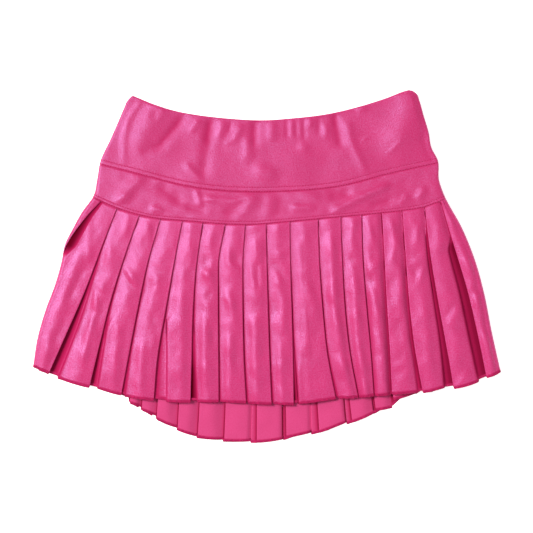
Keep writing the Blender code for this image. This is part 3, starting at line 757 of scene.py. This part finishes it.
# Painted shade along the top of the hem band.
HEM_LINE_PAINTED_SHADE = 0.35
HEM_LINE_WIDTH = 0.45
SKIRT_TOP_ROWS = [0.0, 0.4, 1.0, 1.9, 3.0]
FRONT_BETWEEN = 60
BACK_BETWEEN = 48
SKIRT_LOW_ROWS = [
    HEM_BAND + 1.2, HEM_BAND + 0.7, HEM_BAND + 0.3, HEM_BAND, HEM_BAND - 0.4, 1.2, 0.5, 0.0
]
EDGE_ROWS = 4
SEAM_CREASE_FADE = 0.05
FRONT_FACE_POINTS = 15
BACK_FACE_POINTS = 9
EDGE_CROWDING = 0.5
RELIEF_POWER = 0.9
CROWN_POWER = 1.4

# The turn of a fold edge: its angle, how far the hem's corner lifts there, and how much shade is
# painted on it.
Turn = namedtuple("Turn", "angle lift dark")

FOLD_TURN = table(
    Turn, (90, 0, 0), (50, 0.7, 0.06), (0, 1.4, 0.28), (-50, 0.9, 0.7), (-90, 0.4, 0.7)
)
UNDER_LIFT = 0.4

# How far across an opening its points lie from the fold edge, how deep, and how much shade is
# painted on them.
Across = namedtuple("Across", "share sunk dark")

OPENING = table(
    Across, (0.08, 0.8, 1), (0.3, 1, 1), (0.55, 1, 0.85), (0.8, 0.9, 0.7), (0.97, 0.5, 0.55)
)
# Painted shade on the line beside a fold, across a wide opening and on a face beside a fold edge.
WIDE_FROM = 1.5
WIDE_OVER = 3.0
LINE_DARK = 0.35
LIT_LINE_DARK = 0.7
LINE_SHARE = 0.2
OPEN_FADE = 0.2
FAR_SIDE_LIT = 5.0
SIDE_DARK = 0.42
SIDE_DARK_MORE = 0.3
SIDE_DARK_REACH = 2.4
SHADED = 0.3

# One column of the section: x and z for each row, how freely relief shows there, how far the hem
# hangs below its curve, and how much shade is painted on the cloth there.
Column = namedtuple("Column", "x z relief drop depth")

# A fold at every row: its edge, the opening beside it, which way it points, how crisp the far side
# of the opening is, how much deeper it lies than the pleat's lowest layer, and the painted shade of
# its opening.
RowFold = namedtuple("RowFold", "edge opening faces crisp sunk dark")


def front_row_folds(rows):
    found = []
    for fold in FRONT_FOLDS:
        edge = curve_through(list(zip(QUARTERS, fold[:5])))(rows)
        opening = np.maximum(curve_through(list(zip(QUARTERS, (0.0, *fold[5:9]))))(rows), 0.0)
        if fold.opens > 0.0:
            opening = opening * smooth_step((rows - fold.opens) / OPENS_OVER)
        sinks = SINK_BY_SIDE if abs(fold.hem) > BY_SIDE else SINK_IN_MIDDLE
        sunk = np.clip(opening - SINKS_FROM, 0.0, SINKS_OVER) * sinks
        found.append(RowFold(edge, opening, fold.faces, fold.crisp, sunk, fold.dark))
    return found


def back_row_folds(rows):
    found = []
    for fold in BACK_FOLDS:
        edge = mix(fold.seam, fold.hem, rows)
        found.append(RowFold(edge, fold.open_hem * rows, -1, 1, 0.0 * rows, BACK_FOLD_DARK))
    return found


def pressing(rows):
    """From 0 at the seam, where the pleats are pressed flat, to 1 where they lie freely."""
    return smooth_step(rows / PRESSED_REACH)


def pleat_rise(rows):
    return mix(PRESSED_RISE, PLEAT_RISE, pressing(rows))


def fold_columns(fold, underlap, low, high, drop):
    """The mountain turn, the layer under it and the valley turn, from left to right."""
    way = fold.faces
    bend = (high - low) / 4
    edge = fold.edge - way * (PLEAT_CLOTH / 2 + bend)
    deep = edge - way * underlap
    mountain = []
    valley = []
    for step in FOLD_TURN:
        out = way * bend * math.cos(math.radians(step.angle))
        up = bend * math.sin(math.radians(step.angle))
        corner = drop - step.lift
        # Painted shade on the mountain turn from FOLD_TURN, and full painted shade on the layers
        # under it.
        mountain.append(Column(edge + out, low + 3 * bend + up, 0.0, corner, step.dark))
        valley.append(Column(deep - out, low + bend + up, 0.0, drop - UNDER_LIFT, 1.0))
    under = Column(mix(edge, deep, 0.5), low + 2 * bend, 0.0, drop - UNDER_LIFT, 1.0)
    made = [*mountain, under, *valley]
    return made if way > 0 else made[::-1]


def opening_columns(fold, far, low, freely, drop):
    """The cloth seen in the opening beside a fold, from left to right."""
    rightward = fold.faces > 0
    wide = smooth_step((fold.opening - WIDE_FROM) / WIDE_OVER)
    # Painted shade across the opening: a dark line by the fold edge, and over a wide opening, shade
    # fading towards its far side.
    line = (LINE_DARK if rightward else LIT_LINE_DARK) * mix(PRESSED_LINE, 1.0, freely)
    lit = 1.0 if rightward else 1.0 - OPEN_FADE * freely
    made = []
    for across in OPENING:
        shaded = across.dark ** (1.0 + FAR_SIDE_LIT * (1.0 - fold.dark)) * fold.dark
        dark = mix(line, shaded * lit, wide)
        if across.share < LINE_SHARE:
            dark = np.maximum(dark, line)
        x = mix(fold.edge, far, across.share)
        made.append(Column(x, low - fold.sunk * across.sunk, 0.0, drop, dark))
    return made if rightward else made[::-1]


def face_columns(start, end, low, high, ramps, crown, drops, darks, count):
    """The visible face of a panel. ramps are the widths of its soft rise and fall, or None."""
    width = end - start
    made = []
    for k in range(count):
        even = k / (count - 1)
        share = mix(even, (1.0 - math.cos(math.pi * even)) / 2, EDGE_CROWDING)
        height = high - low
        dark = np.zeros_like(width)
        for ramp, shade, from_edge in zip(ramps, darks, (share, 1.0 - share)):
            if ramp is not None:
                height = height * smooth_step(width * from_edge / ramp)
                # Painted shade beside the fold edge, fading across the face.
                dark = dark + shade * np.exp(-width * from_edge / SIDE_DARK_REACH)
        relief = math.sin(math.pi * share) ** RELIEF_POWER
        crowned = crown * math.sin(math.pi * share) ** CROWN_POWER
        drop = mix(drops[0], drops[1], share)
        made.append(Column(start + width * share, low + height + crowned, relief, drop, dark))
    return made


def pleated_columns(rows, folds, start, end, low, panels, face_points, gap_drop, right_low):
    """Columns from the first panel's start to the last one's end."""
    freely = pressing(rows)
    high = low + pleat_rise(rows)
    turned = PLEAT_CLOTH / 2 + (high - low) / 4

    def side_dark(fold, opens):
        # Painted shade on a face beside a fold edge that opens towards it.
        full = min(fold.dark + SIDE_DARK_MORE, 1.0) if opens else 0.0
        return SIDE_DARK * full * mix(PRESSED_DARK, 1.0, freely)

    def ramp(soft, fold):
        crisp = smooth_step(fold.opening / CRISP_OPENING) * fold.crisp
        return mix(soft, np.full_like(soft, CRISP_STEP), crisp)

    made = []
    for i, panel in enumerate(panels):
        before = folds[i - 1] if i > 0 else None
        after = folds[i] if i < len(folds) else None
        opens_before = before is not None and before.faces > 0
        opens_after = after is not None and after.faces < 0
        darks = (side_dark(before, opens_before), side_dark(after, opens_after))
        face_start = start
        if opens_before:
            face_start = before.edge + before.opening + FOLD_CLEAR
            drop = (panels[i - 1].hem_right + panel.hem_left) / 2 + gap_drop
            made += opening_columns(before, face_start, low, freely, drop)
        elif before is not None:
            face_start = before.edge + turned
        if opens_after:
            face_end = after.edge - after.opening - FOLD_CLEAR
        elif after is not None:
            face_end = after.edge - turned
        else:
            face_end = end - BACK_TUCK if right_low else end
        soft = panel.rise * (face_end - face_start)
        fall = None
        if opens_after:
            fall = ramp(soft, after)
        elif after is None and right_low:
            fall = np.full_like(soft, CRISP_STEP)
        ramps = (ramp(soft, before) if opens_before else None, fall)
        crown = panel.crown * mix(PRESSED_CROWN, 1.0, freely)
        drops = (panel.hem_left, panel.hem_right)
        made += face_columns(
            face_start, face_end, low, high, ramps, crown, drops, darks, face_points
        )
        if after is None:
            continue
        if opens_after:
            drop = (panel.hem_right + panels[i + 1].hem_left) / 2 + gap_drop
            made += opening_columns(after, face_end, low, freely, drop)
            follower = folds[i + 1] if i + 1 < len(folds) else None
            limit = follower.edge - follower.opening if follower else end
            room = limit - after.edge - UNDERLAP_ROOM
            drop = panels[i + 1].hem_left
        else:
            room = after.edge - face_start - UNDERLAP_ROOM
            drop = panel.hem_right
        made += fold_columns(after, np.clip(room, LEAST_UNDERLAP, UNDERLAP), low, high, drop)
    return made


def skirt_frame(rows):
    """Outline and heights of the skirt's rows."""
    left = left_outline(mix(PLEAT_SEAM[0].y, FRONT_HEM[0].y, rows)) + PLEAT_CLOTH / 2
    right = right_outline(mix(PLEAT_SEAM[-1].y, FRONT_HEM[-1].y, rows)) - PLEAT_CLOTH / 2
    high = top_height(2.0 + rows) - PLEAT_CLOTH / 2
    low = high - pleat_rise(rows)
    middle = (PLEAT_CLOTH / 2 + high) / 2
    return left, right, low, high, middle, (high - middle) * FOLD_ROUND


def right_side_columns(right, reach, start, level):
    """The rounded right side, from the flat face to the middle of the side."""
    made = []
    for k in reversed(range(SIDE_STEPS)):
        inset, rise = side_turn(k)
        made.append(Column(right - reach * inset, mix(start, level, rise), 0.0, 0.0, 0.0))
    return made


def front_columns(rows):
    left, right, low, high, middle, reach = skirt_frame(rows)
    folded = smooth_step((rows - WRAP_FADES) / (WRAP_ENDS - WRAP_FADES))
    first = left + wrap_first_pleat(rows)
    tucked = left + wrap_tuck(rows)
    side_start = middle + SIDE_GAP / 2
    made = []
    for k in range(SIDE_STEPS):
        share = k / (SIDE_STEPS - 1)
        inset, rise = side_turn(k)
        under_x = mix(tucked, first + WRAP_OVER, share)
        risen = smooth_step((under_x - first + WRAP_RISES_BEFORE) / WRAP_RISE_WIDTH)
        x = mix(under_x, left + reach * inset, folded)
        z = mix(mix(low, high, risen), mix(side_start, high, rise), folded)
        # Painted shade where the front tucks in under the back's strip, lessening across the tuck.
        made.append(Column(x, z, 0.0, 0.0, (1.0 - folded) * (1.0 - WRAP_LIT * share**3)))
    start = mix(first + WRAP_OVER, left + reach, folded) + SIDE_MARGIN
    end = right - reach - SIDE_MARGIN
    made += pleated_columns(
        rows, front_row_folds(rows), start, end, low, FRONT_PANELS, FRONT_FACE_POINTS,
        FRONT_OPENING_DROP, False,
    )
    return made + right_side_columns(right, reach, side_start, high)


def back_columns(rows):
    left, right, _, front_high, middle, reach = skirt_frame(rows)
    low = np.full_like(rows, PLEAT_CLOTH / 2)
    strip = np.maximum(wrap_strip(rows), 0.0) * (rows < WRAP_ENDS)
    flat_part = np.maximum(strip - reach, 0.0)
    wrapped = np.arccos(np.clip(1.0 - np.minimum(strip, reach) / reach, -1.0, 1.0))
    side_middle = middle - SIDE_GAP / 2 * (1.0 - smooth_step(strip / STRIP_JOINS))
    # Painted shade on the back's strip, growing with its width.
    strip_dark = STRIP_DARK * smooth_step(strip / STRIP_DARK_WIDTH)
    made = []
    for k in range(STRIP_COLUMNS):
        out = flat_part * (1.0 - k / STRIP_COLUMNS) + STRIP_SPACING * (STRIP_COLUMNS - k)
        x = left + reach * (1.0 - np.cos(wrapped)) + out
        z = side_middle + (front_high - side_middle) * np.sin(wrapped)
        made.append(Column(x, z, 0.0, 0.0, strip_dark))
    for k in range(2 * SIDE_STEPS):
        turn = mix(wrapped, -math.pi / 2, k / (2 * SIDE_STEPS - 1))
        rise = np.where(turn > 0.0, front_high - side_middle, side_middle - low)
        x = left + reach * (1.0 - np.cos(turn))
        z = side_middle + rise * np.sin(turn)
        made.append(Column(x, z, 0.0, 0.0, strip_dark * (turn > 0.0)))
    panels = [Panel(BACK_CROWN, BACK_RISE, 0.0, 0.0)]
    panels += [Panel(BACK_CROWN, BACK_RISE, fold.hem_left, fold.hem_right) for fold in BACK_FOLDS]
    start = left + reach + SIDE_MARGIN
    end = right - reach - SIDE_MARGIN
    made += pleated_columns(
        rows, back_row_folds(rows), start, end, low, panels, BACK_FACE_POINTS,
        BACK_OPENING_DROP, True,
    )
    return made + right_side_columns(right, reach, middle - SIDE_GAP / 2, low)


def skirt_piece(name, columns_of, hem, between, looks, creases, phase):
    """A skirt panel from its columns, cut between the seam and the hem."""
    rows_at = (SKIRT_TOP_ROWS, between, SKIRT_LOW_ROWS)
    rows = row_shares(SKIRT_LENGTH, *rows_at)
    columns = columns_of(rows)
    x = np.stack([column.x for column in columns], axis=1)
    z = np.stack([column.z for column in columns], axis=1)
    relief = np.array([column.relief for column in columns])[None, :]
    drop = np.array([column.drop for column in columns])
    depth = np.stack([column.depth + 0.0 * rows for column in columns], axis=1)
    high = pleat_seam(x[0]) - SEAM_GAP / 2
    low = hem(x[-1]) - drop
    y = row_heights(high, low, *rows_at)
    fade = smooth_step(rows / SEAM_CREASE_FADE)[:, None]
    lift = relief * fade * (creased(x, y, creases) + waved(x, y, PLEAT_WAVES, phase))
    # Painted shade in the creases' troughs, where no other shade is painted.
    depth = depth + trough_painted_shade(lift) * (depth < SHADED)
    z = z + lift - SEAM_ROLL * bump((high - y) / SEAM_ROLL_WIDTH) * (relief > 0.0)
    over_band = y - low - HEM_BAND
    thickness = mix(HEM_CLOTH, PLEAT_CLOTH, smooth_step(over_band / HEM_STEP))
    # Painted shade in a thin line just above the hem band.
    depth = np.maximum(depth, HEM_LINE_PAINTED_SHADE * bump((over_band - HEM_STEP) / HEM_LINE_WIDTH))
    grid = np.stack([x, y, np.maximum(z, thickness / 2)], axis=2)
    return cloth_wall(name, grid, thickness, looks, len(rows) - EDGE_ROWS - 1, depth)[0]


# --- the shorts ---


def leg(name, way, look):
    """One leg: cloth folded round the outside of the leg, open at its inner edge."""
    drops = [row.drop for row in LEG_ROWS]
    rows = np.linspace(drops[0], drops[-1], LEG_DOWN)
    curve, inner, outer, lift = (
        np.interp(rows, drops, [row[k] for row in LEG_ROWS]) for k in range(1, 5)
    )
    turn = LEG_SPACING / 2
    inner = inner + SHORTS_CLOTH / 2
    fold = outer - SHORTS_CLOTH / 2 - turn
    flat = [mix(inner, fold, k / (LEG_ACROSS - 1)) for k in range(LEG_ACROSS)]
    angles = [math.radians(angle) for angle in LEG_TURN_ANGLES]
    xs = flat + [fold + turn * math.cos(angle) for angle in angles] + flat[::-1]
    zs = [lift + LEG_SPACING] * LEG_ACROSS
    zs += [lift + turn + turn * math.sin(angle) for angle in angles] + [lift] * LEG_ACROSS
    x = np.stack(xs, axis=1)
    middle = band_seam(0.0)
    y = middle + curve[:, None] * (band_seam(way * x) - middle) - rows[:, None]
    grid = np.stack([way * x, y, np.stack(zs, axis=1)], axis=2)
    if way < 0:
        grid = grid[:, ::-1]
    return cloth_wall(name, grid, SHORTS_CLOTH, [look, look, look])[0]


# --- materials ---

GRAIN_SCALE = 0.7
BLOTCH_SCALE = 0.04
SLUB_SCALE = 1.6
SLUB_STRETCH = 0.3
SLUB_SHARE = 0.6
# Where painted shade reaches the full shade colour, and where it dims the gloss.
SHADE_FULL = 0.5
DULL_FROM = 0.11
DULL_FULL = 0.32
SPARKLE = (0.35, 1.75)
WEAVE_BUMP = 0.012
CLOTH_IOR = 1.9
THREAD_BUMP = 0.12


def new_material(name):
    made = bpy.data.materials.new(name)
    made.use_nodes = True
    return made, made.node_tree, made.node_tree.nodes["Principled BSDF"]


def add_node(tree, kind, **values):
    node = tree.nodes.new(kind)
    for key, value in values.items():
        if key in node.inputs:
            node.inputs[key].default_value = value
        else:
            setattr(node, key, value)
    return node


def cloth_uv(tree):
    return add_node(tree, "ShaderNodeUVMap", uv_map="cloth").outputs["UV"]


def noise(tree, source, scale, detail):
    node = add_node(tree, "ShaderNodeTexNoise", Scale=scale, Detail=detail)
    tree.links.new(source, node.inputs["Vector"])
    return node.outputs["Fac"]


def stripes(tree, source, direction, pitch, distortion):
    node = add_node(
        tree, "ShaderNodeTexWave", wave_type="BANDS", bands_direction=direction,
        Scale=1.0 / pitch, Distortion=distortion,
    )
    tree.links.new(source, node.inputs["Vector"])
    return node.outputs["Fac"]


def ranged(tree, source, low, high, from_low=0.3, from_high=0.7):
    ends = {"From Min": from_low, "From Max": from_high, "To Min": low, "To Max": high}
    node = add_node(tree, "ShaderNodeMapRange", **ends)
    tree.links.new(source, node.inputs["Value"])
    return node.outputs["Result"]


def combined(tree, operation, *sources):
    node = add_node(tree, "ShaderNodeMath", operation=operation)
    for source, place in zip(sources, node.inputs):
        tree.links.new(source, place)
    return node.outputs["Value"]


def blended(tree, share, first, second):
    """A mix of two colours, of which the first may be another node's output."""
    factor, first_place, second_place, colour_out = 0, 6, 7, 2
    node = add_node(tree, "ShaderNodeMix", data_type="RGBA")
    tree.links.new(share, node.inputs[factor])
    if isinstance(first, bpy.types.NodeSocket):
        tree.links.new(first, node.inputs[first_place])
    else:
        node.inputs[first_place].default_value = (*first, 1.0)
    node.inputs[second_place].default_value = (*second, 1.0)
    return node.outputs[colour_out]


def varied(colour, share):
    return [min(c * share, 1.0) for c in colour]


def bumped(tree, height, distance, strength=1.0, under=None):
    node = add_node(tree, "ShaderNodeBump", Strength=strength, Distance=distance * MM)
    tree.links.new(height, node.inputs["Height"])
    if under is not None:
        tree.links.new(under, node.inputs["Normal"])
    return node.outputs["Normal"]


def woven(name, dye, rough, grain, gloss, pitch, blotch):
    """Cloth with a fine weave, a grain about a millimetre wide, blotches, and painted shade in its
    folds.
    """
    made, tree, shader = new_material(name)
    uv = cloth_uv(tree)
    grains = noise(tree, uv, GRAIN_SCALE, 3.0)
    blotches = noise(tree, uv, BLOTCH_SCALE, 3.0)
    stretch = add_node(tree, "ShaderNodeMapping", Scale=(1.0, SLUB_STRETCH, 1.0))
    tree.links.new(uv, stretch.inputs["Vector"])
    slubs = noise(tree, stretch.outputs["Vector"], SLUB_SCALE, 2.0)
    depth = add_node(tree, "ShaderNodeAttribute", attribute_name="depth").outputs["Fac"]

    uneven = combined(
        tree, "ADD", ranged(tree, blotches, 0.0, 0.7), ranged(tree, grains, -0.2, 0.5)
    )
    lit = blended(tree, uneven, varied(dye.lit, 1.0 - blotch), varied(dye.lit, 1.0 + blotch))
    # Painted shade: the shade colour, then the deep colour, laid over the lit colour, with gloss
    # dimmed there.
    shaded = blended(tree, ranged(tree, depth, 0.0, 1.0, 0.0, SHADE_FULL), lit, dye.shade)
    deepened = blended(tree, ranged(tree, depth, 0.0, 1.0, SHADE_FULL, 1.0), shaded, dye.deep)
    dulled = ranged(tree, depth, gloss, 0.0, DULL_FROM, DULL_FULL)
    glossy = combined(tree, "MULTIPLY", dulled, ranged(tree, grains, *SPARKLE))
    relief = bumped(tree, grains, grain)
    relief = bumped(tree, slubs, grain * SLUB_SHARE, under=relief)
    relief = bumped(tree, stripes(tree, uv, "DIAGONAL", pitch, 0.6), WEAVE_BUMP, 0.5, relief)
    tree.links.new(deepened, shader.inputs["Base Color"])
    tree.links.new(ranged(tree, grains, rough - 0.06, rough + 0.08), shader.inputs["Roughness"])
    tree.links.new(glossy, shader.inputs["Specular IOR Level"])
    tree.links.new(relief, shader.inputs["Normal"])
    shader.inputs["Metallic"].default_value = 0.0
    shader.inputs["IOR"].default_value = CLOTH_IOR
    shader.inputs["Specular Tint"].default_value = (*SATIN_GLOSS, 1.0)
    return made


def thread(name, colour, pitch):
    """Overlocked or sewn thread, ribbed across its run."""
    made, tree, shader = new_material(name)
    uv = cloth_uv(tree)
    uneven = ranged(tree, noise(tree, uv, 0.3, 2.0), 0.0, 1.0)
    shade = blended(tree, uneven, varied(colour, 0.82), varied(colour, 1.25))
    tree.links.new(shade, shader.inputs["Base Color"])
    relief = bumped(tree, stripes(tree, uv, "X", pitch, 1.2), THREAD_BUMP, 0.8)
    tree.links.new(relief, shader.inputs["Normal"])
    shader.inputs["Roughness"].default_value = 0.62
    shader.inputs["Specular IOR Level"].default_value = 0.25
    shader.inputs["Specular Tint"].default_value = (*SATIN_GLOSS, 1.0)
    return made


# --- stage ---

# Places and sizes here are in metres, apart from MM_PER_PIXEL, LENS, SENSOR and CLOTH_HEIGHT.
PHOTO_PIXELS = 533
MM_PER_PIXEL = 7.0 / 6.0
LENS = 85.0
SENSOR = 36.0
CLOTH_HEIGHT = 7.5
CAMERA_SHIFT = -0.0002
TABLE_REACH = 30.0
TABLE_DROP = 0.0004
TABLE_GLOW = 0.7
TABLE_WHITE = 0.97
WORLD_STRENGTH = 0.36
WHITE = (1.0, 1.0, 1.0, 1.0)


def stage():
    """A plain white table, one large soft light from the upper left and an even surround."""
    scene = bpy.context.scene
    scene.view_settings.view_transform = "Standard"
    made, _, shader = new_material("table white")
    shader.inputs["Base Color"].default_value = (TABLE_WHITE, TABLE_WHITE, TABLE_WHITE, 1.0)
    shader.inputs["Roughness"].default_value = 0.9
    shader.inputs["Specular IOR Level"].default_value = 0.0
    shader.inputs["Emission Color"].default_value = WHITE
    shader.inputs["Emission Strength"].default_value = TABLE_GLOW
    reach = TABLE_REACH
    corners = [(-reach, -reach, 0), (reach, -reach, 0), (reach, reach, 0), (-reach, reach, 0)]
    mesh = bpy.data.meshes.new("table")
    mesh.from_pydata(corners, [], [(0, 1, 2, 3)])
    mesh.materials.append(made)
    top = bpy.data.objects.new("table", mesh)
    top.location.z = -TABLE_DROP
    scene.collection.objects.link(top)

    scene.world = bpy.data.worlds.new("surround")
    scene.world.use_nodes = True
    surround = scene.world.node_tree.nodes["Background"]
    surround.inputs["Color"].default_value = WHITE
    surround.inputs["Strength"].default_value = WORLD_STRENGTH
    soft_light("key", (-3.68, 1.5, 5.4), 2.25, 446.0)
    soft_light("fill", (1.5, -0.9, 2.2), 1.8, 9.0)


def soft_light(name, place, size, power):
    lamp = bpy.data.lights.new(name, "AREA")
    lamp.shape = "DISK"
    lamp.size = size
    lamp.energy = power
    light = bpy.data.objects.new(name, lamp)
    light.location = place
    light.rotation_euler = (-light.location).to_track_quat("-Z", "Y").to_euler()
    bpy.context.scene.collection.objects.link(light)


def camera():
    """Straight above the table, with the photograph's field of view."""
    data = bpy.data.cameras.new("camera")
    data.lens = LENS
    data.sensor_width = SENSOR
    away = PHOTO_PIXELS * MM_PER_PIXEL * LENS / SENSOR + CLOTH_HEIGHT
    made = bpy.data.objects.new("camera", data)
    made.location = (CAMERA_SHIFT, CAMERA_SHIFT, away * MM)
    bpy.context.scene.collection.objects.link(made)
    bpy.context.scene.camera = made


# --- the garment ---


def declare(piece, node=None):
    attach(piece, "root")
    if node:
        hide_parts(node)


def mirrored(creases):
    return [Crease(-c.x0, c.y0, -c.x1, c.y1, abs(c.height), c.width) for c in creases]


def build():
    satin = woven("pink satin", SATIN, 0.38, 0.3, 0.42, 0.5, 0.05)
    inside = woven("satin wrong side", INSIDE, 0.7, 0.02, 0.2, 0.5, 0.03)
    hem_thread = thread("overlocked hem", HEM_PINK, 0.9)
    seam_thread = thread("topstitching thread", THREAD_PINK_AND_PAINTED_SHADE, 0.4)
    jersey = woven("pink jersey", JERSEY, 0.75, 0.05, 0.2, 0.9, 0.04)

    outside_up = [satin, inside, hem_thread]
    inside_up = [inside, satin, hem_thread]
    smooth = {}
    lines = {}
    for name, shape, looks, front, creases, phase in (
        ("waistband_front", BAND_SHAPE, outside_up, True, BAND_CREASES, 0.4),
        ("waistband_back", BAND_SHAPE, inside_up, False, mirrored(BAND_CREASES), 2.2),
        ("yoke_front", YOKE_SHAPE, outside_up, True, YOKE_CREASES, 1.1),
        ("yoke_back", YOKE_SHAPE, inside_up, False, mirrored(YOKE_CREASES), 3.0),
    ):
        smooth[name], lines[name] = smooth_piece(
            name + "_satin", shape, looks, front, creases, phase
        )
    skirt_front = skirt_piece(
        "skirt_front_satin", front_columns, front_hem, FRONT_BETWEEN, outside_up, PLEAT_CREASES, 0.7
    )
    skirt_back = skirt_piece(
        "skirt_back_satin", back_columns, back_hem, BACK_BETWEEN, inside_up, [], 1.9
    )
    shorts_left = leg("shorts_left_jersey", 1, jersey)
    shorts_right = leg("shorts_right_jersey", -1, jersey)
    threads = {name: stitching(name + "_stitching", lines[name], seam_thread) for name in smooth}
    for piece in threads.values():
        declare(piece)
    for name, flat, area, rests_on in (
        ("waistband_front", (390, 110), 0.0302, [shorts_left]),
        ("waistband_back", (390, 110), 0.0300, []),
        ("yoke_front", (410, 70), 0.0155, [shorts_left]),
        ("yoke_back", (410, 70), 0.0155, []),
    ):
        declare(smooth[name], name)
    declare(skirt_front, "skirt_front")
    declare(skirt_back, "skirt_back")
    declare(shorts_left, "shorts_left")
    declare(shorts_right, "shorts_right")


stage()
camera()
build()
